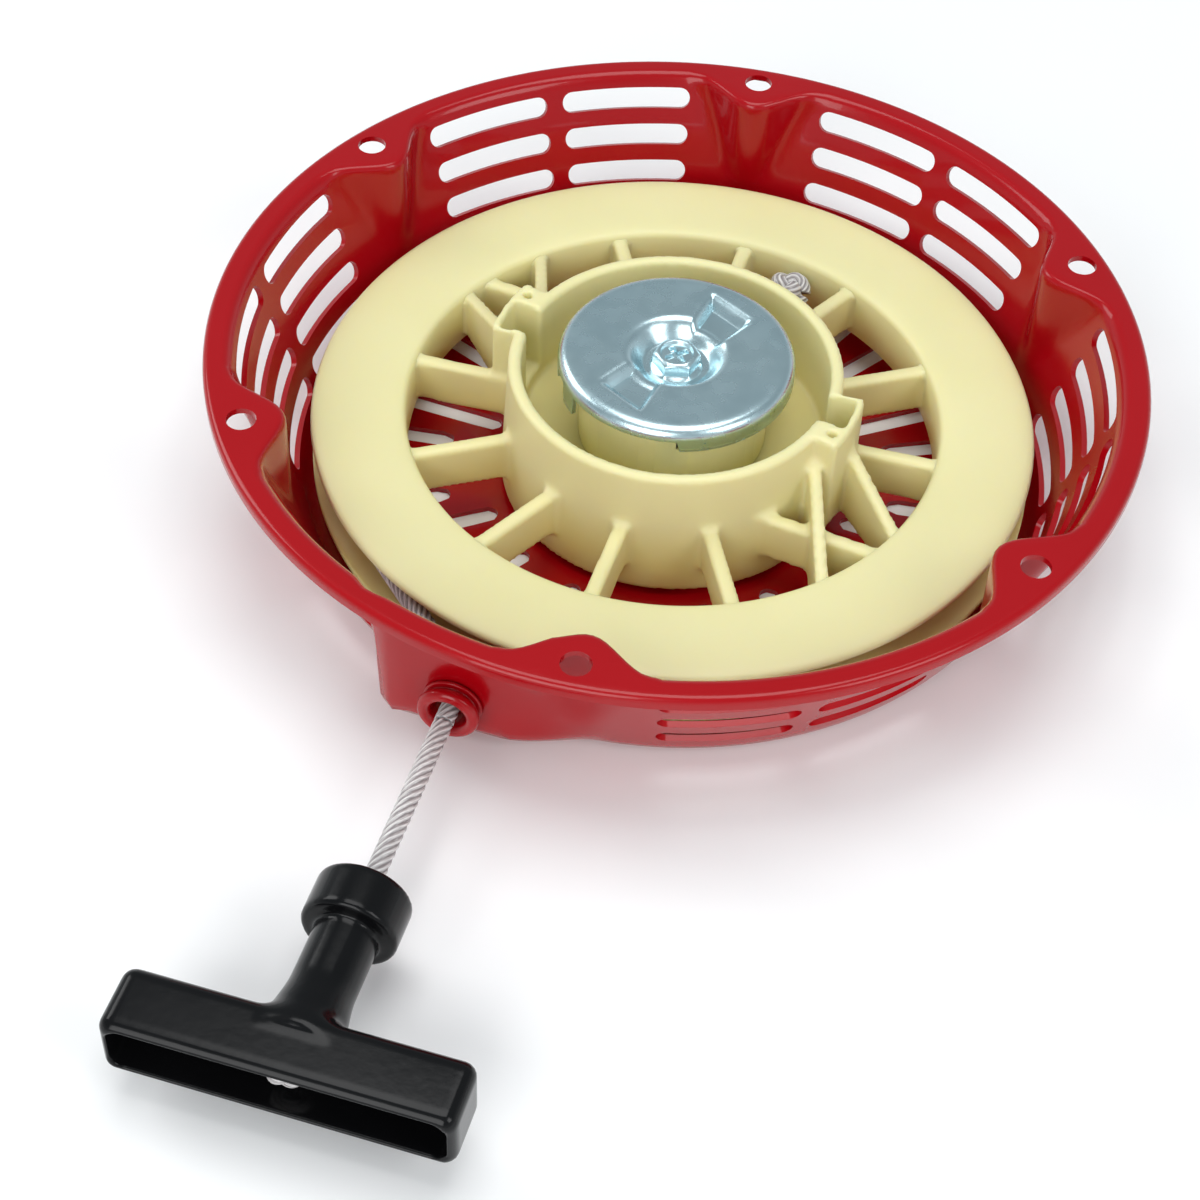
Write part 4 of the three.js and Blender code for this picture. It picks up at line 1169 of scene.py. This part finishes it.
def guide_height(radius, angle):
    """The plate's height: the top, less the recess, less the channels where the angle is near their own."""
    recess = guide["recess_depth"] * (1 - smooth_step((radius - 7.6) / 5.6))
    off = degrees_between(angle, guide["channel_angle"])
    off = np.where(np.abs(off) > 90, degrees_between(off, 180), off)
    along, side = radius * np.cos(np.radians(off)), radius * np.sin(np.radians(off))
    flare = 0.35 * np.clip(along - 10, 0, 12)
    width = 1 - smooth_step((np.maximum(-side, side - flare) - 3.2) / 2.8)
    length = 1 - smooth_step((along - 18.6) / 3.6)
    channel = 2.6 * width * length
    return guide["top"] - np.hypot(recess, channel * (1 - recess / guide["recess_depth"]))


plate = round_axis(plate_rows[:, None], turn_by, guide_height(plate_rows[:, None], turn_by[None, :]))


def edge_depth(angle):
    """How far down the turned edge reaches at an angle: skirts, tabs, and a short edge between them."""
    depth = np.full_like(angle, 1.9)
    for half in (0, 180):
        for middle, reach, deep in ((half - 28.5, 48.5, 4.8), (half + 37, 5, 7.4)):
            near = 1 - smooth_step((np.abs(degrees_between(angle, middle)) - reach) / 0.9)
            depth = np.maximum(depth, deep * near)
    return depth


deep = edge_depth(turn_by)
roll = np.radians(np.linspace(15, 90, 6))
edge, top = guide["edge_radius"], guide["top"]
edge_rows = [(guide["edge_start"] + edge * math.sin(a), top - edge * (1 - math.cos(a))) for a in roll]
edge_rows += [(27.37, top - edge - (deep - edge) * share) for share in (0.33, 0.66, 1.0)]
skirt = np.stack([round_axis(radius, turn_by, z) for radius, z in edge_rows])
guide_points = np.concatenate([plate, skirt])
ratchet_guide = piece(
    "ratchet_guide_plate",
    guide_points.reshape(-1, 3),
    grid_faces(len(guide_points), around),
    zinc_plate,
    "guide",
)
guide_sheet = ratchet_guide.modifiers.new("sheet", "SOLIDIFY")
guide_sheet.thickness = 1.1 * MM
guide_sheet.offset = -1
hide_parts("ratchet_guide")
print("guide grid faces up:", ratchet_guide.data.polygons[0].normal.z > 0)

# %% [markdown]
# ## The centre bolt
#
# The head is a hexagon on a flange, with a dished top and a cross recess. Its radius round the hexagon is
# half the width over the flats, divided by the cosine of the angle from the nearest flat.

# %% Centre bolt
around = 144
turn_by = np.linspace(0, 360, around, endpoint=False)
from_flat = np.radians((turn_by - 12) % 60 - 30)
half_flats = 5.0
hexagon = half_flats / np.cos(from_flat)
fall = (hexagon - half_flats) * 0.55
head_top, flange_top = 42.0, 38.4
radii, heights = [], []


def bolt_row(radius, height):
    """Adds a row of points round the head: one radius and height, or one for each point."""
    radii.append(np.broadcast_to(radius, (around,)))
    heights.append(np.broadcast_to(height, (around,)))


for radius, height in ((3.0, 37.1), (6.0, 37.1), (6.45, 37.3), (6.5, 37.8), (6.2, 38.1)):
    bolt_row(radius, height)
bolt_row(np.minimum(hexagon + 0.35, 6.1), flange_top)
bolt_row(hexagon, flange_top + 0.3)
bolt_row(hexagon, head_top - 0.45 - fall)
bolt_row(hexagon - 0.15, head_top - 0.25 - fall)
bolt_row(4.55, head_top - 0.02)
bolt_row(4.3, head_top)
bolt_row(4.0, head_top - 0.1)
cross_turn = np.radians(turn_by - 40)
off_cross = np.minimum(np.abs(np.cos(cross_turn)), np.abs(np.sin(cross_turn)))
for radius in (3.6, 3.3, 3.0, 2.7, 2.4, 2.1, 1.8, 1.5, 1.2, 0.9, 0.6, 0.3, 0.05):
    in_cross = 1 - smooth_step((off_cross * radius - 0.55) / 0.3)
    reach = 1 - smooth_step((radius - 2.6) / 0.5)
    bolt_row(radius, head_top - 0.85 - 1.2 * in_cross * reach)
bolt_points = round_axis(np.array(radii), turn_by, np.array(heights))
head_count = len(radii) * around
bolt_faces = [*grid_faces(len(radii), around).tolist(), list(range(head_count - around, head_count))]
shank = turned([(3.0, 37.2), (3.0, 21.0), (2.6, 20.4), (0.05, 20.4)], around)
bolt_points = np.concatenate([bolt_points.reshape(-1, 3), shank])
bolt_faces += (grid_faces(4, around) + head_count).tolist()
center_bolt = piece("centre_bolt_head", bolt_points, bolt_faces, zinc_plate, "case")
outward(center_bolt)
center_bolt.data.set_sharp_from_angle(angle=math.radians(35))
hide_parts("center_bolt")
print("bolt:", len(center_bolt.data.polygons), "faces")

# %% [markdown]
# ## The grip
#
# The grip is one moulding too, so it is a field like the reel's cup: a collar, a neck that widens into
# the bar, and a bar with round corners that is hollow on its outer side, where the knot sits. Its own
# axis X is the rope's line, from the collar's face outwards.

# %% Grip
grip_step = 0.6
grip_low = (-1.2, -38.4, -11.4)
X, Y, Z = field_grid(grip_low, (52.2, 38.4, 11.4), grip_step)
radius = np.sqrt(Y * Y + Z * Z)
collar_shape = box_distance((4.3, 9.3), X - 5.5, radius) - 1.2
neck_radius = 6.0 + 1.4 * smooth_step((X - 24) / 12)
neck = np.maximum(radius - neck_radius - 1.0, np.abs(X - 23) - 15)
bar = box_distance((5.0, 34.0, 5.0), X - 43, Y, Z) - 3.0
hollow = box_distance((8.0, 32.1, 3.1), X - 47.0, Y, Z) - 3.0
hollow = np.maximum(hollow, 38.6 - X)
grip_field = join(join(collar_shape, neck, 1.0), bar, 3.5)
grip_field = cut(grip_field, hollow, 0.6)
grip_field = cut(grip_field, radius - 2.75, 0.5)
points, faces = surface_of(grip_field, grip_low, grip_step)
swing = math.radians(pull_angle)
cosine, sine = math.cos(swing), math.sin(swing)
to_row = np.array([[cosine, sine, 0], [-sine, cosine, 0], [0, 0, 1]])
grip_at = outlet_point + grip_start * axis
grip_points = grip_at + points @ to_row
pull_grip = piece("pull_grip_moulding", grip_points, faces, grip_plastic, "grip")
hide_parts("pull_grip")
print("grip:", len(faces), "quads")

# %% [markdown]
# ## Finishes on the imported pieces
#
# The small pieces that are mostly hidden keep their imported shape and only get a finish.

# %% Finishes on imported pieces
kept_pieces = {
    "reel_hub": reel_nylon,
    "reel_post": bare_steel,
    "spring_hook": bare_steel,
    "ratchet_1": bare_steel,
    "ratchet_2": bare_steel,
    "return_spring": spring_steel,
    "ratchet_spring_1": spring_steel,
    "ratchet_spring_2": spring_steel,
    "friction_spring": spring_steel,
    "grip_rope": rope_nylon,
}
for name, material in kept_pieces.items():
    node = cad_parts[name]
    node.data.materials.clear()
    node.data.materials.append(material)
print("finished as packed:", sorted(kept_pieces))
